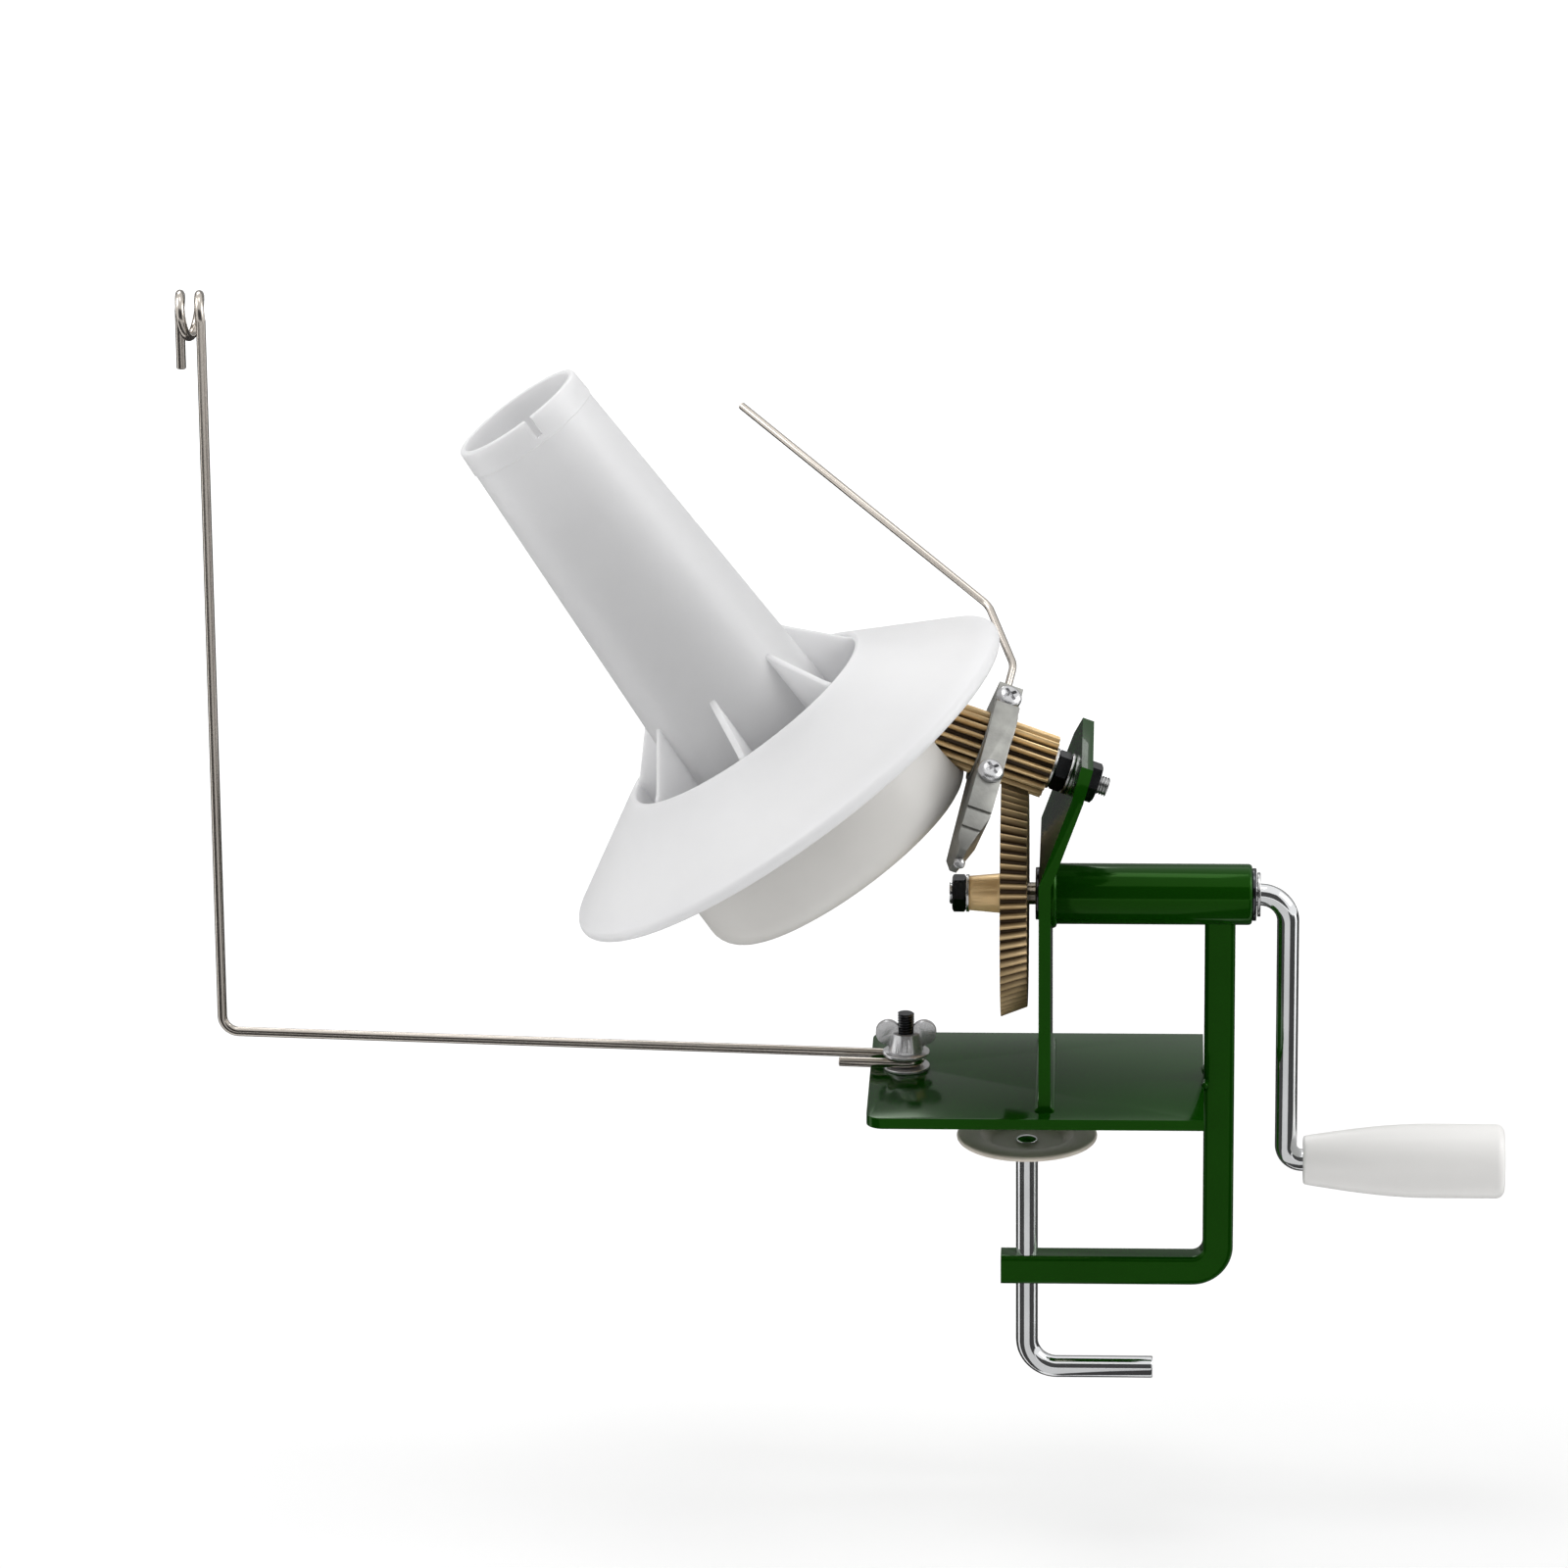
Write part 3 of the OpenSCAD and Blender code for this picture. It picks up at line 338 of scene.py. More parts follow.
finishLooks = {
    "greenEnamel": {"colour": (0.0040, 0.0450, 0.0011), "shade": (0.0028, 0.0360, 0.0007),
                    "driftScale": 30, "roughness": (0.08, 0.15), "grainScale": 160, "bump": 0.03,
                    "specular": 0.30, "sheenTint": (0.32, 1.0, 0.18)},
    "whiteMoulding": {"colour": (0.81, 0.81, 0.82), "shade": (0.775, 0.775, 0.785),
                      "driftScale": 22, "roughness": (0.36, 0.50), "grainScale": 900,
                      "bump": 0.06, "glowThrough": 0.9, "glowDepth": 0.009},
    "coverMoulding": {"colour": (0.78, 0.765, 0.735), "shade": (0.735, 0.72, 0.69),
                      "driftScale": 26, "roughness": (0.36, 0.50), "grainScale": 900,
                      "bump": 0.06},
    "gripMoulding": {"colour": (0.94, 0.93, 0.91), "shade": (0.91, 0.90, 0.88),
                     "driftScale": 35, "roughness": (0.30, 0.44), "grainScale": 800,
                     "bump": 0.07},
    # brass; its groove colour is painted shade laid in the gaps between teeth
    "brassWithGapShade": {"colour": (0.93, 0.69, 0.37), "shade": (0.74, 0.52, 0.26),
                   "driftScale": 90, "roughness": (0.30, 0.46), "metallic": 0.5,
                   "grainScale": 1500, "bump": 0.16, "groove": (0.045, 0.024, 0.008)},
    "castZinc": {"colour": (0.40, 0.40, 0.375), "shade": (0.29, 0.29, 0.275),
                 "driftScale": 140, "roughness": (0.42, 0.58), "metallic": 1.0,
                 "grainScale": 1300, "bump": 0.30},
    "platedZinc": {"colour": (0.72, 0.72, 0.73), "shade": (0.56, 0.56, 0.57),
                   "driftScale": 160, "roughness": (0.16, 0.30), "metallic": 0.75,
                   "grainScale": 1500, "bump": 0.12},
    "brightSteel": {"colour": (0.66, 0.66, 0.66), "shade": (0.50, 0.50, 0.50),
                    "driftScale": 150, "roughness": (0.18, 0.32), "metallic": 1.0,
                    "grainScale": 1400, "bump": 0.10},
    "blackedSteel": {"colour": (0.085, 0.088, 0.094), "shade": (0.050, 0.052, 0.056),
                     "driftScale": 170, "roughness": (0.14, 0.26), "metallic": 1.0,
                     "coat": 0.2, "grainScale": 900, "bump": 0.08},
    "polishedChrome": {"colour": (0.82, 0.83, 0.84), "shade": (0.73, 0.74, 0.75),
                       "driftScale": 60, "roughness": (0.06, 0.13), "metallic": 1.0,
                       "grainScale": 700, "bump": 0.03},
    "nickelWire": {"colour": (0.56, 0.515, 0.465), "shade": (0.48, 0.44, 0.395),
                   "driftScale": 30, "roughness": (0.16, 0.26), "metallic": 1.0,
                   "grainScale": 300, "bump": 0.02},
    # pad nickel made pale and mostly diffuse: painted light, so the pad reads as lit where it lies
    # in the plate's shade
    "nickelStamping": {"colour": (0.82, 0.75, 0.65), "shade": (0.72, 0.655, 0.565),
                       "driftScale": 70, "roughness": (0.26, 0.40), "metallic": 0.12,
                       "grainScale": 700, "bump": 0.05},
    "greyNylon": {"colour": (0.22, 0.22, 0.21), "shade": (0.16, 0.16, 0.155),
                  "driftScale": 120, "roughness": (0.4, 0.55), "grainScale": 1000, "bump": 0.1},
}
finishes = {name: mixFinish(name, look) for name, look in finishLooks.items()}
print("finishes mixed:", len(finishes))


# shaping: turned bodies, bent rods, nuts and softened copies of solids
def vertsIn(geom):
    return [g for g in geom if isinstance(g, bmesh.types.BMVert)]


def edgesIn(geom):
    return [g for g in geom if isinstance(g, bmesh.types.BMEdge)]


def edgesOf(verts):
    return list({e for v in verts for e in v.link_edges})


def softenEdges(bm, edges, soft, segments=3, clamp=False):
    bmesh.ops.bevel(bm, geom=edges, offset=soft * mm, offset_type="OFFSET", affect="EDGES",
                    segments=segments, profile=0.5, material=-1, clamp_overlap=clamp)


def profileEdges(bm, points):
    verts = [bm.verts.new((r * mm, 0, h * mm)) for r, h in points]
    return verts, [bm.edges.new(pair) for pair in zip(verts, verts[1:])]


def pour(source, bm):
    mesh = meshOf("poured", source)
    bm.from_mesh(mesh)
    bpy.data.meshes.remove(mesh)


# turns a ready shape to its place and adds it to the piece
def seatShape(shape, place, bm):
    bmesh.ops.transform(shape, matrix=place, verts=shape.verts)
    pour(shape, bm)


def turnProfile(bm, points, place, closed=False, steps=96):
    ring = bmesh.new()
    verts, edges = profileEdges(ring, points)
    if closed:
        edges.append(ring.edges.new((verts[-1], verts[0])))
    bmesh.ops.spin(ring, geom=verts + edges, cent=(0, 0, 0), axis=(0, 0, 1), angle=2 * pi,
                   steps=steps, use_merge=True)
    bmesh.ops.remove_doubles(ring, verts=ring.verts, dist=seamGap)
    bmesh.ops.recalc_face_normals(ring, faces=ring.faces)
    seatShape(ring, place, bm)


def softCorner(centre, radius, fromDeg, toDeg, steps=5):
    span = [radians(fromDeg + (toDeg - fromDeg) * k / steps) for k in range(steps + 1)]
    return [(centre[0] + radius * cos(a), centre[1] + radius * sin(a)) for a in span]


def offsets(origin, steps):
    return [(origin[0] + r, origin[1] + h) for r, h in steps]


def washerProfile(outer, inner, height, soft=0.25):
    edge = outer - soft
    return (softCorner((edge, soft), soft, -90, 0, steps=3)
            + softCorner((edge, height - soft), soft, 0, 90, steps=3)
            + [(inner + soft, height), (inner, height - soft), (inner, soft), (inner + soft, 0)])


def turnWasher(bm, shape, place):
    profile = washerProfile(shape["outer"], shape["inner"], shape["thick"], shape["soft"])
    turnProfile(bm, profile, place, closed=True, steps=64)


# nuts: corners cut round at both ends, bore softened
nutCut = {"crown": 0.97, "chamfer": 30.0, "boreSoft": 0.5, "steps": 8}


def hexNut(bm, shape, place):
    flat, bore, height = shape["across"] / 2, shape["bore"], shape["height"]
    cut, soft = nutCut["crown"] * flat, nutCut["boreSoft"]
    ring = bmesh.new()

    def loop(radius, z, hexed=False):
        sides = 6 * nutCut["steps"]
        verts = bmesh.ops.create_circle(ring, segments=sides, radius=radius * mm)["verts"]
        for v in verts:
            a = atan2(v.co.y, v.co.x)
            reach = flat / cos((a + pi / 6) % (pi / 3) - pi / 6) if hexed else radius
            drop = (reach - cut) * tan(radians(nutCut["chamfer"])) if hexed else 0
            level = z - drop if z > height / 2 else z + drop
            v.co = Vector((reach * cos(a), reach * sin(a), level)) * mm
        return edgesOf(verts)

    loops = [loop(bore, soft), loop(bore + soft, 0), loop(cut, 0), loop(flat, 0, True),
             loop(flat, height, True), loop(cut, height), loop(bore + soft, height),
             loop(bore, height - soft)]
    for first, second in zip(loops, loops[1:] + loops[:1]):
        bmesh.ops.bridge_loops(ring, edges=first + second)
    bmesh.ops.recalc_face_normals(ring, faces=ring.faces)
    seatShape(ring, place, bm)


def pullRing(rod, edges, vec):
    made = bmesh.ops.extrude_edge_only(rod, edges=edges)["geom"]
    bmesh.ops.translate(rod, verts=vertsIn(made), vec=vec)
    return [e for e in edgesIn(made) if e.is_boundary]


def swingRing(rod, edges, cent, axis, angle, steps, climb=(0, 0, 0)):
    verts = list({v for e in edges for v in e.verts})
    made = bmesh.ops.spin(rod, geom=verts + edges, cent=cent, axis=axis, angle=angle,
                          steps=steps, dvec=climb)
    return edgesIn(made["geom_last"])


def capRod(rod, soft):
    bmesh.ops.remove_doubles(rod, verts=rod.verts, dist=seamGap)
    rims = [e for e in rod.edges if e.is_boundary]
    bmesh.ops.holes_fill(rod, edges=rims, sides=0)
    bmesh.ops.recalc_face_normals(rod, faces=rod.faces)
    softenEdges(rod, rims, soft)


def bentRod(bm, points, bends, radius, place=Matrix(), sides=20, bendSteps=14, soft=0.4):
    rod = bmesh.new()
    points = [Vector(p) * mm for p in points]
    heads = [(b - a).normalized() for a, b in zip(points, points[1:])]
    circle = bmesh.ops.create_circle(rod, segments=sides, radius=radius * mm)["verts"]
    facing = heads[0].to_track_quat("Z", "Y").to_matrix()
    bmesh.ops.rotate(rod, verts=circle, cent=(0, 0, 0), matrix=facing)
    bmesh.ops.translate(rod, verts=circle, vec=points[0])
    tail = edgesOf(circle)
    here = points[0]
    for i, head in enumerate(heads):
        end = points[i + 1]
        if i + 1 < len(heads):
            angle = head.angle(heads[i + 1])
            end = end - head * bends[i] * mm * tan(angle / 2)
        tail = pullRing(rod, tail, end - here)
        here = end
        if i + 1 < len(heads):
            axis = head.cross(heads[i + 1]).normalized()
            cent = here + axis.cross(head) * bends[i] * mm
            tail = swingRing(rod, tail, cent, axis, angle, bendSteps)
            here = points[i + 1] + heads[i + 1] * bends[i] * mm * tan(angle / 2)
    capRod(rod, soft)
    seatShape(rod, place, bm)


# helical thread, cut square at both ends; shares are of one pitch
threadCut = {"depth": 0.55, "crest": (0.42, 0.58), "steps": 28}


def cutThread(bm, crest, pitch, low, high, place, depth=None):
    root = crest - (depth or threadCut["depth"] * pitch)
    steps = threadCut["steps"]
    rod = bmesh.new()
    turns = int((high - low) / pitch) + 3
    points = []
    for k in range(turns):
        base = low + (k - 2) * pitch
        points.append((root, base))
        points += [(crest, base + share * pitch) for share in threadCut["crest"]]
    points.append((root, low + (turns - 2) * pitch))
    verts, edges = profileEdges(rod, points)
    bmesh.ops.spin(rod, geom=verts + edges, cent=(0, 0, 0), axis=(0, 0, 1), angle=2 * pi,
                   steps=steps, dvec=(0, 0, pitch * mm / steps))
    bmesh.ops.remove_doubles(rod, verts=rod.verts, dist=solidGap)
    for height, normal in ((low, (0, 0, -1)), (high, (0, 0, 1))):
        geom = rod.verts[:] + rod.edges[:] + rod.faces[:]
        bmesh.ops.bisect_plane(rod, geom=geom, plane_co=(0, 0, height * mm), plane_no=normal,
                               clear_outer=True, dist=seamGap)
    bmesh.ops.holes_fill(rod, edges=[e for e in rod.edges if e.is_boundary], sides=0)
    bmesh.ops.recalc_face_normals(rod, faces=rod.faces)
    seatShape(rod, place, bm)


flatAngle = 0.6  # faces of a solid that meet at less are one


def softCopy(node, soft, angle=30.0, segments=2):
    bm = bmesh.new()
    bm.from_mesh(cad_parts[node].data)
    bmesh.ops.remove_doubles(bm, verts=bm.verts, dist=solidGap)
    bmesh.ops.dissolve_limit(bm, angle_limit=radians(flatAngle), verts=bm.verts, edges=bm.edges)
    limit = radians(angle)
    sharp = [e for e in bm.edges if len(e.link_faces) == 2 and e.calc_face_angle(0) > limit]
    softenEdges(bm, sharp, soft, segments, clamp=True)
    return bm


def finishPiece(name, bm, finish, body, nodes, smooth=35.0):
    mesh = meshOf(name, bm)
    mesh.polygons.foreach_set("use_smooth", [True] * len(mesh.polygons))
    mesh.set_sharp_from_angle(angle=radians(smooth))
    piece = setOut(name, mesh, finishes[finish])
    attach(piece, body)
    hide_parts(*nodes)


# green enamelled frame: softened copies of its three flat pieces
greenShapes = {"basePlate": {"node": "base_plate", "soft": 0.9, "angle": 30.0, "segments": 3},
               "gearUpright": {"node": "gear_upright", "soft": 0.8, "angle": 30.0, "segments": 3},
               "clampBar": {"node": "clamp_frame", "soft": 1.9, "angle": 40.0, "segments": 5}}
for name, shape in greenShapes.items():
    bm = softCopy(shape["node"], shape["soft"], shape["angle"], shape["segments"])
    finishPiece(name, bm, "greenEnamel", "frame", [shape["node"]])

tubeShape = {"endRound": 1.3, "bore": 6.0}
tubeLow, tubeHigh = (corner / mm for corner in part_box("bearing_tube"))
bm = bmesh.new()
tubeProfile = washerProfile(tubeHigh.y, tubeShape["bore"], tubeHigh.x - tubeLow.x,
                            tubeShape["endRound"])
turnProfile(bm, tubeProfile, crankFrame(tubeLow.x), closed=True)
finishPiece("bearingTube", bm, "greenEnamel", "frame", ["bearing_tube"])

# weld beads where the green pieces meet, softened by the enamel
beadShape = {"uprightSides": (4.6, 8.9), "uprightReach": 37.0, "plateTop": 4.0, "radius": 1.5,
             "sides": 14, "soft": 0.7, "tubeRadius": 11.0, "tubeRise": 0.4, "tubeAt": 8.9,
             "barFrom": (64.8, 5.2, 4.2), "barTo": (64.2, 9.88, 4.0), "barRadius": 1.2,
             "barSides": 12, "barSoft": 0.6}
bm = bmesh.new()
for x in beadShape["uprightSides"]:
    run = [(x, side * beadShape["uprightReach"], beadShape["plateTop"]) for side in (-1, 1)]
    bentRod(bm, run, [], beadShape["radius"], sides=beadShape["sides"], soft=beadShape["soft"])
bead = softCorner((beadShape["tubeRadius"], beadShape["tubeRise"]), beadShape["radius"], 0, 360,
                  beadShape["sides"])[:-1]
turnProfile(bm, bead, crankFrame(beadShape["tubeAt"]), closed=True)
for side in (-1, 1):
    run = [(x, side * y, z) for x, y, z in (beadShape["barFrom"], beadShape["barTo"])]
    bentRod(bm, run, [], beadShape["barRadius"], sides=beadShape["barSides"],
            soft=beadShape["barSoft"])
finishPiece("weldBeads", bm, "greenEnamel", "frame", [])

bushShape = {"soft": 0.3}
finishPiece("tubeBushes", softCopy("tube_bushes", bushShape["soft"]), "blackedSteel", "frame",
            ["tube_bushes"])
print("green frame shaped")

# bolt that carries the pinion, threaded in the tab, with its nuts and washers
axleShape = {"radius": 3.5, "pitch": 1.0, "threadFrom": -31.5, "threadTo": -10.6, "end": 37.7,
             "chamfer": 0.5, "steps": 48}
bm = bmesh.new()
radius, chamfer = axleShape["radius"], axleShape["chamfer"]
start, end = axleShape["threadTo"], axleShape["end"]
cutThread(bm, radius, axleShape["pitch"], axleShape["threadFrom"], start, pinionFrame())
turnProfile(bm, [(0, start), (radius, start), (radius, end - chamfer), (radius - chamfer, end),
                 (0, end)], pinionFrame(), steps=axleShape["steps"])
finishPiece("pinionBolt", bm, "brightSteel", "frame", ["pinion_axle"])
tabNutShape = {"across": 13.0, "bore": 3.55, "height": 5.0, "places": (-27.7, -16.0)}
bm = bmesh.new()
for s in tabNutShape["places"]:
    hexNut(bm, tabNutShape, pinionFrame(s))
finishPiece("tabNuts", bm, "blackedSteel", "frame", ["axle_nuts"])
tabWasherShape = {"outer": 7.5, "inner": 3.55, "thick": 1.2, "soft": 0.25,
                  "places": (-22.7, -17.2, -11.0)}
bm = bmesh.new()
for s in tabWasherShape["places"]:
    turnWasher(bm, tabWasherShape, pinionFrame(s))
finishPiece("tabWashers", bm, "brightSteel", "frame", ["axle_washers"])
print("pinion bolt set in the tab")


# gears: softened copies of the solids with painted shade in the gaps between the teeth
gearGapShade = {"edge": 0.14, "sharp": 25.0, "flank": 0.75, "band": (-1.0, 3.2)}
driveGearShape = {"pitchRadius": 41.4, "middle": -4.4, "halfAngle": 20.0, "shadeReach": 1.5,
                  "shadeRise": 1.8}
pinionShape = {"pitchRadius": 10.35, "middle": 0.0, "halfAngle": 0.0, "shadeReach": 1.0,
               "shadeRise": 0.0}
bevelGearShape = {"pitchRadius": 48.3, "middle": 0.0, "halfAngle": 35.0, "shadeReach": 1.0,
                  "shadeRise": 0.25}


def gearPiece(name, node, body, place, shape):
    bm = softCopy(node, gearGapShade["edge"], angle=gearGapShade["sharp"], segments=1)
    # painted shade: share of the dark gap colour at each corner, deeper below the pitch line
    gapShade = bm.loops.layers.float.new("groove")
    axis = (place.to_3x3() @ Vector((0, 0, 1))).normalized()
    taper = tan(radians(shape["halfAngle"]))
    shallow, deepest = gearGapShade["band"]
    for face in bm.faces:
        onTeeth = abs(face.normal.dot(axis)) < gearGapShade["flank"]
        for loop in face.loops:
            offset = loop.vert.co - place.translation
            along = offset.dot(axis)
            radius = (offset - axis * along).length / mm
            pitch = shape["pitchRadius"] - (along / mm - shape["middle"]) * taper
            deep = (pitch + shape["shadeRise"] - radius) / shape["shadeReach"]
            gapShaded = onTeeth and shallow < deep < deepest
            loop[gapShade] = min(1.0, max(0.0, deep)) if gapShaded else 0.0
    finishPiece(name, bm, "brassWithGapShade", body, [node])


gearPiece("driveGear", "drive_gear", "crank", crankFrame(), driveGearShape)
gearPiece("longPinion", "pinion", "flyer", pinionFrame(), pinionShape)
gearPiece("bevelGear", "cone_gear", "cone", coneFrame(), bevelGearShape)

# crank: bent chrome rod with a threaded end, nut and washers
crankLow, crankHigh = (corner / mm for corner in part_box("crank_rod"))
gripLow, gripHigh = (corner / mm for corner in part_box("handle_grip"))
gripAxis = (gripLow.z + gripHigh.z) / 2
crankShape = {"radius": 4.0, "tubeBend": 10.0, "gripBend": 6.0, "armX": 93.9, "sides": 32,
              "bendSteps": 24, "threadTo": -20.6, "threadLap": 0.2, "pitch": 1.25,
              "threadDepth": 0.6}
bm = bmesh.new()
armX, threadTo, height = crankShape["armX"], crankShape["threadTo"], shafts["crankHeight"]
crankRun = [(threadTo, 0, height), (armX, 0, height), (armX, 0, gripAxis),
            (crankHigh.x, 0, gripAxis)]
bentRod(bm, crankRun, [crankShape["tubeBend"], crankShape["gripBend"]], crankShape["radius"],
        sides=crankShape["sides"], bendSteps=crankShape["bendSteps"])
cutThread(bm, crankShape["radius"], crankShape["pitch"], crankLow.x,
          threadTo + crankShape["threadLap"], crankFrame(), depth=crankShape["threadDepth"])
finishPiece("crankRod", bm, "polishedChrome", "crank", ["crank_rod"])
gearNutShape = {"across": 12.0, "bore": 4.05, "height": 5.0, "at": -26.9}
bm = bmesh.new()
hexNut(bm, gearNutShape, crankFrame(gearNutShape["at"]))
finishPiece("gearNut", bm, "blackedSteel", "crank", ["gear_nut"])
crankWashers = {"gearWasher": {"node": "gear_washer", "outer": 6.8, "inner": 4.05, "thick": 1.2,
                               "soft": 0.25, "at": -21.9},
                "thrustWasher": {"node": "thrust_washer", "outer": 8.0, "inner": 4.05,
                                 "thick": 1.2, "soft": 0.25, "at": 82.7}}
for name, shape in crankWashers.items():
    bm = bmesh.new()
    turnWasher(bm, shape, crankFrame(shape["at"]))
    finishPiece(name, bm, "brightSteel", "crank", [shape["node"]])

# grip: turned handle with a soft free end, and the ring that keeps it on
gripShape = {"bore": 4.05, "neck": 9.0, "belly": 13.5, "bellyAt": 0.62, "swellSteps": 24,
             "neckRound": 1.2, "endRound": 3.2, "recess": 8.0, "recessDeep": 6.0,
             "recessSoft": 0.4}
gripRingShape = {"outer": 7.0, "inner": 4.0, "soft": 0.25}


def gripProfile(shape, length):
    neck, neckRound = shape["neck"], shape["neckRound"]
    belly, endRound = shape["belly"], shape["endRound"]
    recess, floor, soft = shape["recess"], length - shape["recessDeep"], shape["recessSoft"]
    steps, rise = shape["swellSteps"], length * shape["bellyAt"]
    swell = [(neck + (belly - neck) * sin(pi / 2 * k / steps), neckRound + rise * k / steps)
             for k in range(1, steps + 1)]
    return (softCorner((neck - neckRound, neckRound), neckRound, -90, 0, steps=4) + swell
            + softCorner((belly - endRound, length - endRound), endRound, 0, 90, steps=8)
            + [(recess + soft, length), (recess, length - soft), (recess, floor),
               (shape["bore"], floor), (shape["bore"], 0)])


bm = bmesh.new()
turnProfile(bm, gripProfile(gripShape, gripHigh.x - gripLow.x), levelFrame(gripLow.x, gripAxis),
            closed=True)
finishPiece("turnedGrip", bm, "gripMoulding", "grip", ["handle_grip"])
ringLow, ringHigh = (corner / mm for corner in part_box("grip_retainer"))
bm = bmesh.new()
turnWasher(bm, {**gripRingShape, "thick": ringHigh.x - ringLow.x}, levelFrame(ringLow.x, gripAxis))
finishPiece("gripRing", bm, "brightSteel", "crank", ["grip_retainer"])
print("gears and crank shaped")


# joins or cuts closed shapes and hands back one clean shape
def carve(bm, tool, operation):
    holders = []
    for name, shape in (("carved", bm), ("cutter", tool)):
        holders.append(bpy.data.objects.new(name, meshOf(name, shape)))
        scene.collection.objects.link(holders[-1])
    step = holders[0].modifiers.new("carve", "BOOLEAN")
    step.operation, step.solver, step.object = operation, "EXACT", holders[1]
    seen = holders[0].evaluated_get(bpy.context.evaluated_depsgraph_get())
    result = bpy.data.meshes.new_from_object(seen)
    out = bmesh.new()
    out.from_mesh(result)
    for mesh in [holder.data for holder in holders] + [result]:
        bpy.data.meshes.remove(mesh)
    bmesh.ops.remove_doubles(out, verts=out.verts, dist=seamGap)
    return out


def outlinePlate(bm, outline, thick, place, soft):
    plate = bmesh.new()
    corners = [plate.verts.new((x * mm, -thick / 2 * mm, z * mm)) for x, z in outline]
    face = plate.faces.new(corners)
    lifted = bmesh.ops.extrude_face_region(plate, geom=[face])["geom"]
    bmesh.ops.translate(plate, verts=vertsIn(lifted), vec=(0, thick * mm, 0))
    bmesh.ops.recalc_face_normals(plate, faces=plate.faces)
    softenEdges(plate, plate.edges[:], soft)
    seatShape(plate, place, bm)


# winding cone: tube in a ribbed well, flange sloping down to a rounded rim
# crown rounds are centre from the well's edge and radius, steps are from the named corner
coneShape = {"mouth": 24.5, "foot": 33.0, "mouthHeight": 190.2, "wall": 2.5, "floorTop": 19.2,
             "floorLow": 16.7, "wellRadius": 47.0, "wellRound": 2.0, "crownRadius": 50.5,
             "crownOuter": (1.6, -1.0, 1.25), "crownInner": (1.2, -0.95, 1.2), "rim": 92.0,
             "rimRound": 2.6, "rimHeight": 26.2, "slope": 31.5, "bore": 6.05,
             "footSteps": ((1.2, 0.0), (-0.05, 1.4)), "band": 10.0, "bandStep": 0.4,
             "lipRound": 0.9, "lipInner": 0.6, "steps": 144}
ribShape = {"count": 7, "turn": -88.0, "rise": 19.5, "thick": 2.5, "soft": 0.55, "lap": 1.0,
            "topSteps": ((1.0, -2.4), (0.2, 0.6), (-1.4, 1.6))}
notchShape = {"turn": 286.5, "wide": 2.4, "deep": 7.6}


def tubeRadius(shape, height):
    share = (height - shape["floorTop"]) / (shape["mouthHeight"] - shape["floorTop"])
    return shape["foot"] + (shape["mouth"] - shape["foot"]) * share


def coneProfile(shape):
    wall, rimRound, slope = shape["wall"], shape["rimRound"], radians(shape["slope"])
    rimAt = (shape["rim"] - rimRound, shape["rimHeight"] - rimRound * cos(slope))
    rimTop = rimAt[0] + rimRound * sin(slope)
    crown = shape["rimHeight"] + (rimTop - shape["crownRadius"]) * tan(slope)
    drop = wall / cos(slope)
    under = shape["rim"] - 3 * rimRound
    inner = shape["crownRadius"] - wall
    high = shape["mouthHeight"]
    bandLow = high - shape["band"]
    mouth = shape["mouth"] + shape["bandStep"]
    lower, upper = shape["floorLow"], shape["floorTop"]
    tilt, well = 90 - shape["slope"], shape["wellRound"]
    outX, outZ, outRound = shape["crownOuter"]
    inX, inZ, inRound = shape["crownInner"]
    lip, lipIn = shape["lipRound"], shape["lipInner"]
    underside = [(shape["bore"], lower), (shape["wellRadius"] + wall, lower),
                 (shape["crownRadius"], crown - drop),
                 (under, shape["rimHeight"] + (rimTop - under) * tan(slope) - drop),
                 (under + wall / 2, rimAt[1] - rimRound)]
    flange = (softCorner(rimAt, rimRound, -90, tilt, steps=14)
              + softCorner((inner + outX, crown + outZ), outRound, tilt, 90, steps=3)
              + softCorner((inner + inX, crown + inZ), inRound, 90, 180, steps=5)
              + softCorner((shape["wellRadius"] - well, upper + well), well, 0, -90, steps=4))
    tube = (offsets((shape["foot"], upper), shape["footSteps"])
            + [(tubeRadius(shape, bandLow), bandLow),
               (tubeRadius(shape, bandLow) + shape["bandStep"], bandLow + shape["bandStep"])]
            + softCorner((mouth - lip, high - lip), lip, 0, 90, steps=4)
            + softCorner((mouth - wall + lipIn, high - lipIn), lipIn, 90, 180, steps=3)
            + [(shape["foot"] - wall, upper), (shape["bore"], upper)])
    return crown, underside + flange + tube


crownHeight, profile = coneProfile(coneShape)
cone = bmesh.new()
turnProfile(cone, profile, Matrix(), closed=True, steps=coneShape["steps"])
ribs = bmesh.new()
lap, apex = ribShape["lap"], crownHeight + ribShape["rise"]
wellEdge = (coneShape["crownRadius"] - coneShape["wall"], crownHeight)
ribOutline = ([(coneShape["foot"] - lap, coneShape["floorTop"] - lap),
               (coneShape["wellRadius"] + lap, coneShape["floorTop"] - lap)]
              + offsets(wellEdge, ribShape["topSteps"])
              + [(tubeRadius(coneShape, apex) - lap, apex + lap)])
for i in range(ribShape["count"]):
    turn = Matrix.Rotation(radians(ribShape["turn"] + 360 / ribShape["count"] * i), 4, "Z")
    outlinePlate(ribs, ribOutline, ribShape["thick"], turn, ribShape["soft"])
cone = carve(cone, ribs, "UNION")
notch = bmesh.new()
bmesh.ops.create_cube(notch, size=1.0)
notchSize = (4 * coneShape["wall"], notchShape["wide"], 2 * notchShape["deep"])
bmesh.ops.scale(notch, vec=[side * mm for side in notchSize], verts=notch.verts)
notchAt = (coneShape["mouth"] * mm, 0, coneShape["mouthHeight"] * mm)
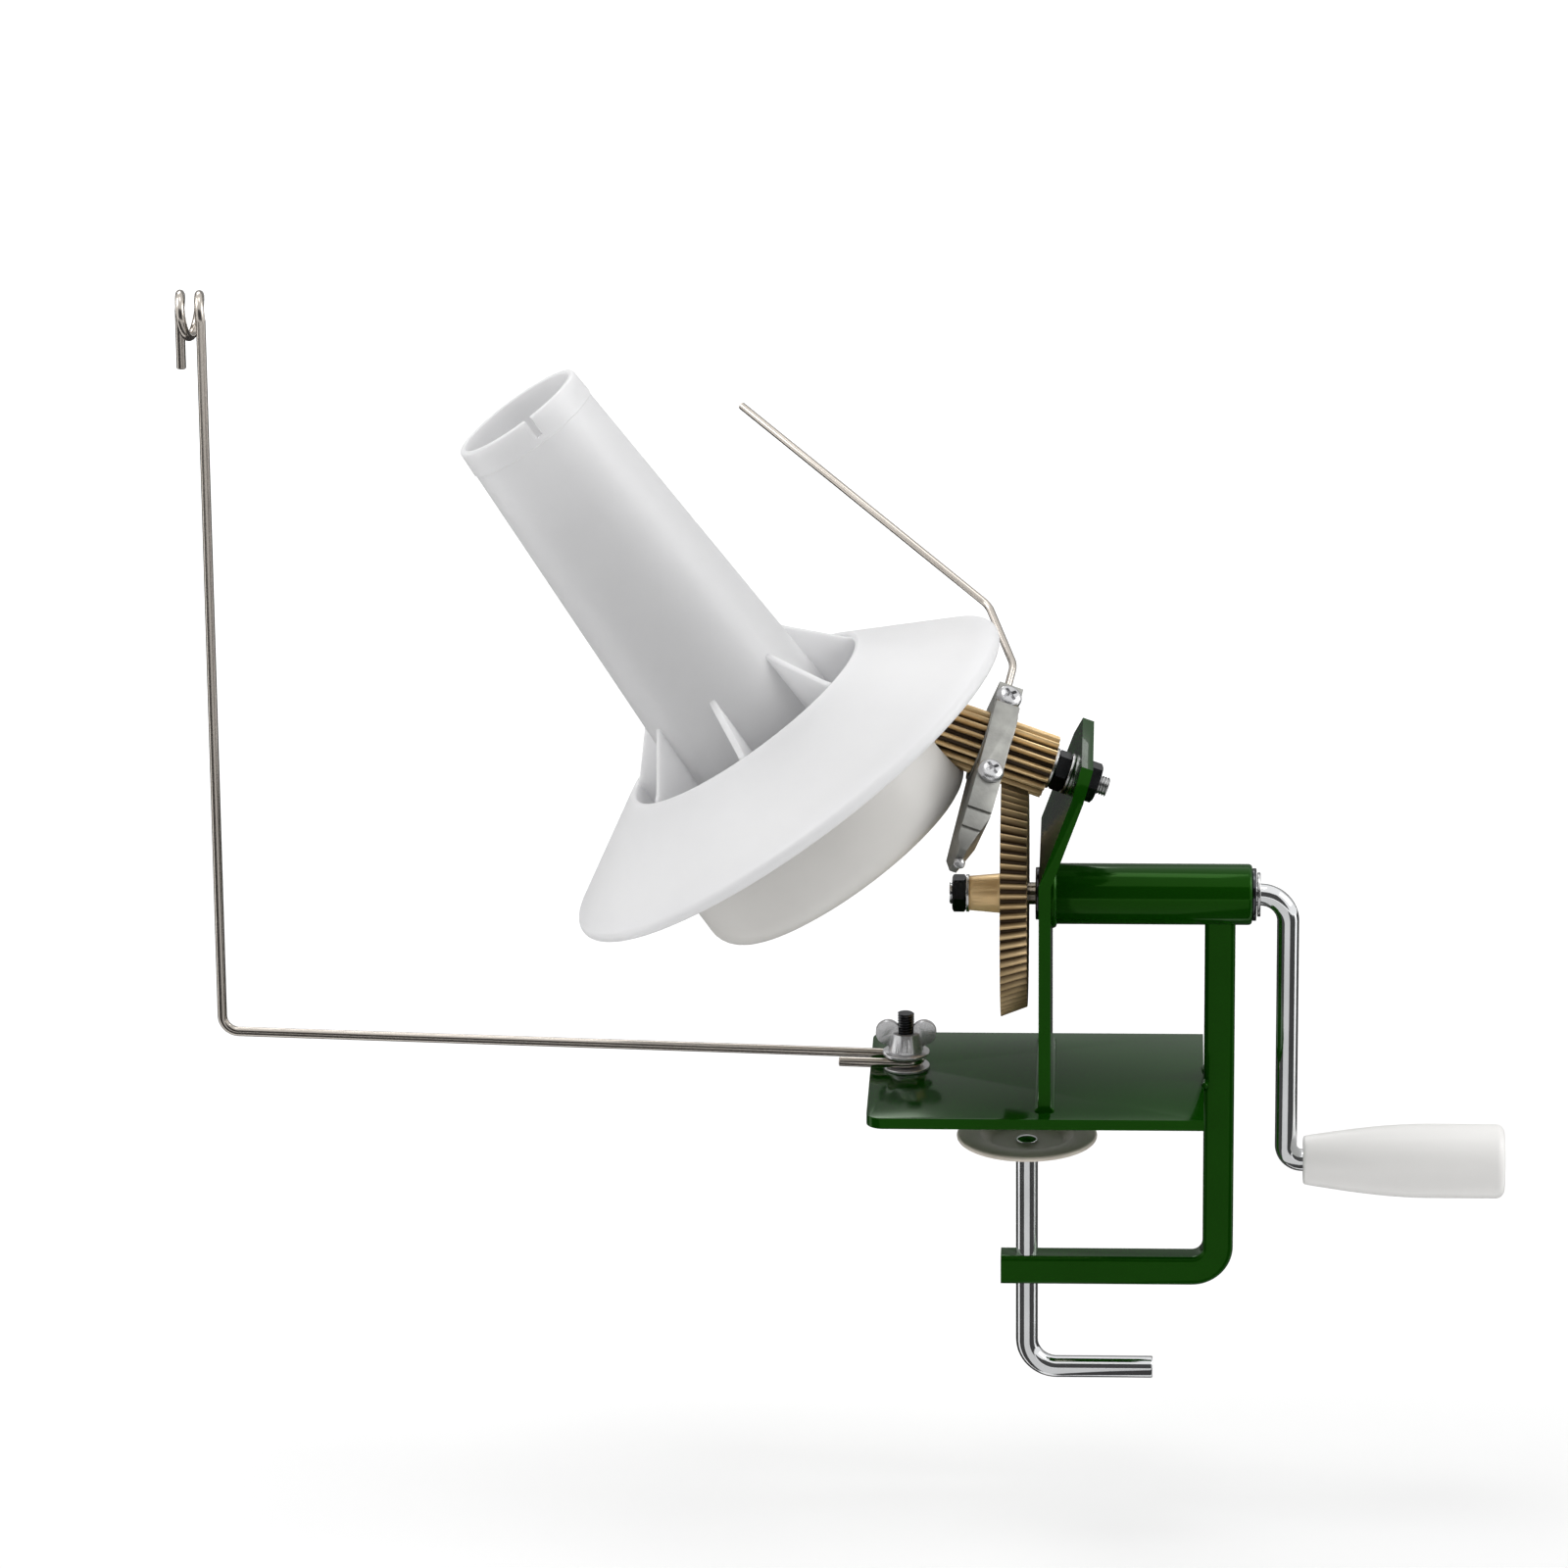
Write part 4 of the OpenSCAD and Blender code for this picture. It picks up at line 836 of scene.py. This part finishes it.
bmesh.ops.translate(notch, vec=notchAt, verts=notch.verts)
notchTurn = Matrix.Rotation(radians(notchShape["turn"]), 3, "Z")
bmesh.ops.rotate(notch, cent=(0, 0, 0), matrix=notchTurn, verts=notch.verts)
cone = carve(cone, notch, "DIFFERENCE")
bmesh.ops.transform(cone, matrix=coneFrame(), verts=cone.verts)
finishPiece("windingCone", cone, "whiteMoulding", "cone", ["bobbin_cone"],
            smooth=32)
print("winding cone shaped")

# fixed cover over the bevel gear, with the cone's bolt, bush, nut, washers and screws
coverShape = {"soft": 0.45, "angle": 40.0, "smooth": 32.0}
finishPiece("gearCover", softCopy("gear_cover", coverShape["soft"], angle=coverShape["angle"]),
            "coverMoulding", "frame", ["gear_cover"],
            smooth=coverShape["smooth"])
coneBoltShape = {"soft": 0.45}
finishPiece("coneBolt", softCopy("cone_axle", coneBoltShape["soft"]), "brightSteel", "frame",
            ["cone_axle"])
coneBushShape = {"soft": 0.25}
finishPiece("coneBush", softCopy("cone_bush", coneBushShape["soft"]), "greyNylon", "cone",
            ["cone_bush"])
coneNutShape = {"across": 13.0, "bore": 4.05, "height": 6.0, "at": 23.7}
bm = bmesh.new()
hexNut(bm, coneNutShape, coneFrame(coneNutShape["at"]))
finishPiece("coneNut", bm, "brightSteel", "frame", ["cone_nut"])
coneWasherShape = {"outer": 9.0, "inner": 4.05, "thick": 1.2, "soft": 0.25,
                   "places": (-14.7, -4.367, 22.5)}
bm = bmesh.new()
for h in coneWasherShape["places"]:
    turnWasher(bm, coneWasherShape, coneFrame(h))
finishPiece("coneWashers", bm, "brightSteel", "frame", ["cone_washers"])
gearScrewShape = {"soft": 0.2}
finishPiece("gearScrews", softCopy("gear_screws", gearScrewShape["soft"]), "brightSteel", "cone",
            ["gear_screws"])
print("gear cover shaped")


# flyer: cast arm, its wire and screws
flyerShape = {"soft": 0.6, "middle": 12.508, "wireRadius": 1.4, "wireBend": 11.0,
              "wireRoute": ((13.5, 0, 12.508), (40, 0, 12.508), (70, 8, 26), (142, 30, 132)),
              "wireSides": 20, "wireBendSteps": 20, "wireSoft": 0.5}
finishPiece("flyerArm", softCopy("flyer_arm", flyerShape["soft"], segments=3), "castZinc",
            "flyer", ["flyer_arm"])
bm = bmesh.new()
bentRod(bm, flyerShape["wireRoute"], [flyerShape["wireBend"]] * 2, flyerShape["wireRadius"],
        flyerFrame(), sides=flyerShape["wireSides"], bendSteps=flyerShape["wireBendSteps"],
        soft=flyerShape["wireSoft"])
finishPiece("flyerWire", bm, "nickelWire", "flyer", ["flyer_wire"])

# domed screws with a cross; spots are along the arm and out from its middle
screwShape = {"spots": ((15.5, 10.0), (-23.5, 14.3)), "shank": 2.5, "tipGap": 0.05, "head": 4.75,
              "headHeight": 3.0, "brim": 0.9, "brimSoft": 0.3, "domeCurve": 0.55, "steps": 48,
              "slotSize": (5.4, 1.25, 3.4), "slotTurns": (45, 135)}


def crossScrew(shape, length):
    head, top, brim, soft = (shape[k] for k in ("head", "headHeight", "brim", "brimSoft"))
    dome = [(head * cos(radians(a)) ** shape["domeCurve"], brim + (top - brim) * sin(radians(a)))
            for a in range(0, 90, 9)]
    screw = bmesh.new()
    turnProfile(screw, [(0, -length), (shape["shank"], -length), (shape["shank"], 0),
                        (head - soft, 0), (head, soft)] + dome + [(0, top)],
                Matrix(), steps=shape["steps"])
    for degrees in shape["slotTurns"]:
        slot = bmesh.new()
        bmesh.ops.create_cube(slot, size=1.0)
        bmesh.ops.scale(slot, vec=[side * mm for side in shape["slotSize"]], verts=slot.verts)
        turn = Matrix.Rotation(radians(degrees), 3, "Z")
        bmesh.ops.rotate(slot, cent=(0, 0, 0), matrix=turn, verts=slot.verts)
        bmesh.ops.translate(slot, vec=(0, 0, top * mm), verts=slot.verts)
        screw = carve(screw, slot, "DIFFERENCE")
    return screw


bm = bmesh.new()
for x, y in screwShape["spots"]:
    screw = crossScrew(screwShape, y - flyerShape["wireRadius"] - screwShape["tipGap"])
    seat = Matrix.Translation((x * mm, -y * mm, 0)) @ Matrix.Rotation(pi / 2, 4, "X")
    seatShape(screw, flyerFrame(flyerShape["middle"]) @ seat, bm)
finishPiece("armScrews", bm, "platedZinc", "flyer", ["arm_screws"])
balanceShape = {"soft": 0.35}
finishPiece("balanceScrew", softCopy("balance_screw", balanceShape["soft"]), "platedZinc",
            "flyer", ["balance_screw"])
print("flyer shaped")


# yarn guide: rod with a hairpin round the stud, an upright run and an open eye
studAt = Vector((-44.0, 8.0, 0.0))
guideShape = {"radius": 1.75, "sides": 20, "soft": 0.5, "turn": -4.5, "height": 7.25,
              "tail": 24.0, "turnRadius": 5.05, "turnSteps": 28, "reach": 253.0, "bend": 6.0,
              "bendSteps": 16, "upright": 270.0, "eyeRadius": 7.5, "eyePitch": 7.0,
              "eyeLoops": 1.5, "eyeSteps": 32, "eyeTail": 22.0}


# drawn in millimetres, then brought down to metres
def shapeGuide(shape):
    low, reach, bend = shape["height"], shape["reach"], shape["bend"]
    turnRadius, loops = shape["turnRadius"], shape["eyeLoops"]
    rod = bmesh.new()
    ring = bmesh.ops.create_circle(rod, segments=shape["sides"], radius=shape["radius"])["verts"]
    bmesh.ops.rotate(rod, verts=ring, cent=(0, 0, 0), matrix=Matrix.Rotation(pi / 2, 3, "Y"))
    bmesh.ops.translate(rod, verts=ring, vec=(-shape["tail"], -turnRadius, low))
    end = pullRing(rod, edgesOf(ring), (shape["tail"], 0, 0))
    end = swingRing(rod, end, (0, 0, low), (0, 0, 1), pi, shape["turnSteps"])
    end = pullRing(rod, end, (bend - reach, 0, 0))
    end = swingRing(rod, end, (bend - reach, turnRadius, low + bend), (0, 1, 0), pi / 2,
                    shape["bendSteps"])
    end = pullRing(rod, end, (0, 0, shape["upright"] - bend))
    steps = int(shape["eyeSteps"] * loops)
    eyeAt = (-reach, turnRadius + shape["eyeRadius"], low + shape["upright"])
    end = swingRing(rod, end, eyeAt, (-1, 0, 0), 2 * pi * loops, steps,
                    (-shape["eyePitch"] * loops / steps, 0, 0))
    pullRing(rod, end, (0, 0, -shape["eyeTail"]))
    bmesh.ops.scale(rod, vec=(mm, mm, mm), verts=rod.verts)
    capRod(rod, shape["soft"])
    turn = Matrix.Rotation(radians(shape["turn"]), 4, "Z")
    bmesh.ops.transform(rod, matrix=Matrix.Translation(studAt * mm) @ turn, verts=rod.verts)
    return rod


finishPiece("yarnGuide", shapeGuide(guideShape), "nickelWire", "guide",
            ["guide_arm"])

# stud, washers and wing nut that hold the guide
studShape = {"radius": 3.0, "pitch": 1.0, "top": 25.0, "headRadius": 7.0, "headHeight": 2.0,
             "headSoft": 0.4, "steps": 48}
studPlace = Matrix.Translation(studAt * mm)
bm = bmesh.new()
head, rise, soft = (studShape[k] for k in ("headRadius", "headHeight", "headSoft"))
turnProfile(bm, [(0, 0), (head - soft, 0), (head, soft), (head, rise), (0, rise)], studPlace,
            steps=studShape["steps"])
cutThread(bm, studShape["radius"], studShape["pitch"], rise, studShape["top"], studPlace)
finishPiece("guideStud", bm, "blackedSteel", "frame", ["guide_stud"])
studWasherShape = {"outer": 8.55, "inner": 3.05, "thick": 1.2, "soft": 0.3}
studWashers = {"studWasher": {"node": "stud_washer", "body": "frame", "at": 4.0},
               "nutWasher": {"node": "nut_washer", "body": "washer", "at": 9.3}}
for name, spot in studWashers.items():
    bm = bmesh.new()
    turnWasher(bm, studWasherShape, Matrix.Translation((studAt + Vector((0, 0, spot["at"]))) * mm))
    finishPiece(name, bm, "platedZinc", spot["body"], [spot["node"]])
wingNutShape = {"soft": 0.55}
finishPiece("wingNut", softCopy("wing_nut", wingNutShape["soft"], segments=3), "platedZinc",
            "nut", ["wing_nut"])
print("yarn guide shaped")

# clamp screw with a bent handle and a riveted neck
screwLow, screwHigh = (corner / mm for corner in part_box("clamp_screw"))
clampShape = {"radius": 4.0, "bend": 11.0, "sides": 32, "bendSteps": 24, "soft": 0.5,
              "neckLow": -23.3, "neckRadius": 3.0, "neckHeight": 2.6, "rivet": 4.0,
              "rivetHeight": 1.5, "neckSteps": 48}
handleAt = screwLow.z + clampShape["radius"]
neckLow, neckRadius, rivet, rivetHeight = (
    clampShape[k] for k in ("neckLow", "neckRadius", "rivet", "rivetHeight"))
bm = bmesh.new()
bentRod(bm, [(0, 0, neckLow), (0, 0, handleAt), (screwHigh.x, 0, handleAt)],
        [clampShape["bend"]], clampShape["radius"], sides=clampShape["sides"],
        bendSteps=clampShape["bendSteps"], soft=clampShape["soft"])
neckTop = neckLow + clampShape["neckHeight"]
dome = [(rivet * cos(radians(a)), neckTop + rivetHeight * sin(radians(a)))
        for a in range(0, 90, 10)]
turnProfile(bm, [(0, neckLow), (neckRadius, neckLow), (neckRadius, neckTop)] + dome
            + [(0, neckTop + rivetHeight)], Matrix(), steps=clampShape["neckSteps"])
finishPiece("clampScrew", bm, "polishedChrome", "screw", ["clamp_screw"])

# stamped pad: a dish whose bends are given as steps from its sharp corners
padShape = {"top": -18.0, "radius": 25.5, "dish": 5.0, "thick": 2.0, "hole": 3.05, "well": 14.8,
            "edgeRound": 1.0, "lowBend": ((-0.6, 0.0), (0.3, 0.3)),
            "lowRim": ((-0.4, -0.35), (0.6, 0.0)), "topRim": ((-0.4, 0.0), (-1.4, -0.35)),
            "topBend": ((-1.0, 0.3), (-1.9, 0.0))}


def padProfile(shape):
    top, dish, thick = shape["top"], shape["dish"], shape["thick"]
    hole, well, edge = shape["hole"], shape["well"], shape["edgeRound"]
    rim, floor = well + dish - thick, top - dish
    return ([(hole, floor)] + offsets((well, floor), shape["lowBend"])
            + offsets((rim, top - thick), shape["lowRim"])
            + softCorner((shape["radius"] - edge, top - edge), edge, -90, 90, steps=8)
            + offsets((rim, top), shape["topRim"])
            + offsets((well, floor + thick), shape["topBend"]) + [(hole, floor + thick)])


bm = bmesh.new()
turnProfile(bm, padProfile(padShape), Matrix(), closed=True)
finishPiece("clampPad", bm, "nickelStamping", "pad", ["clamp_pad"])
print("clamp shaped")
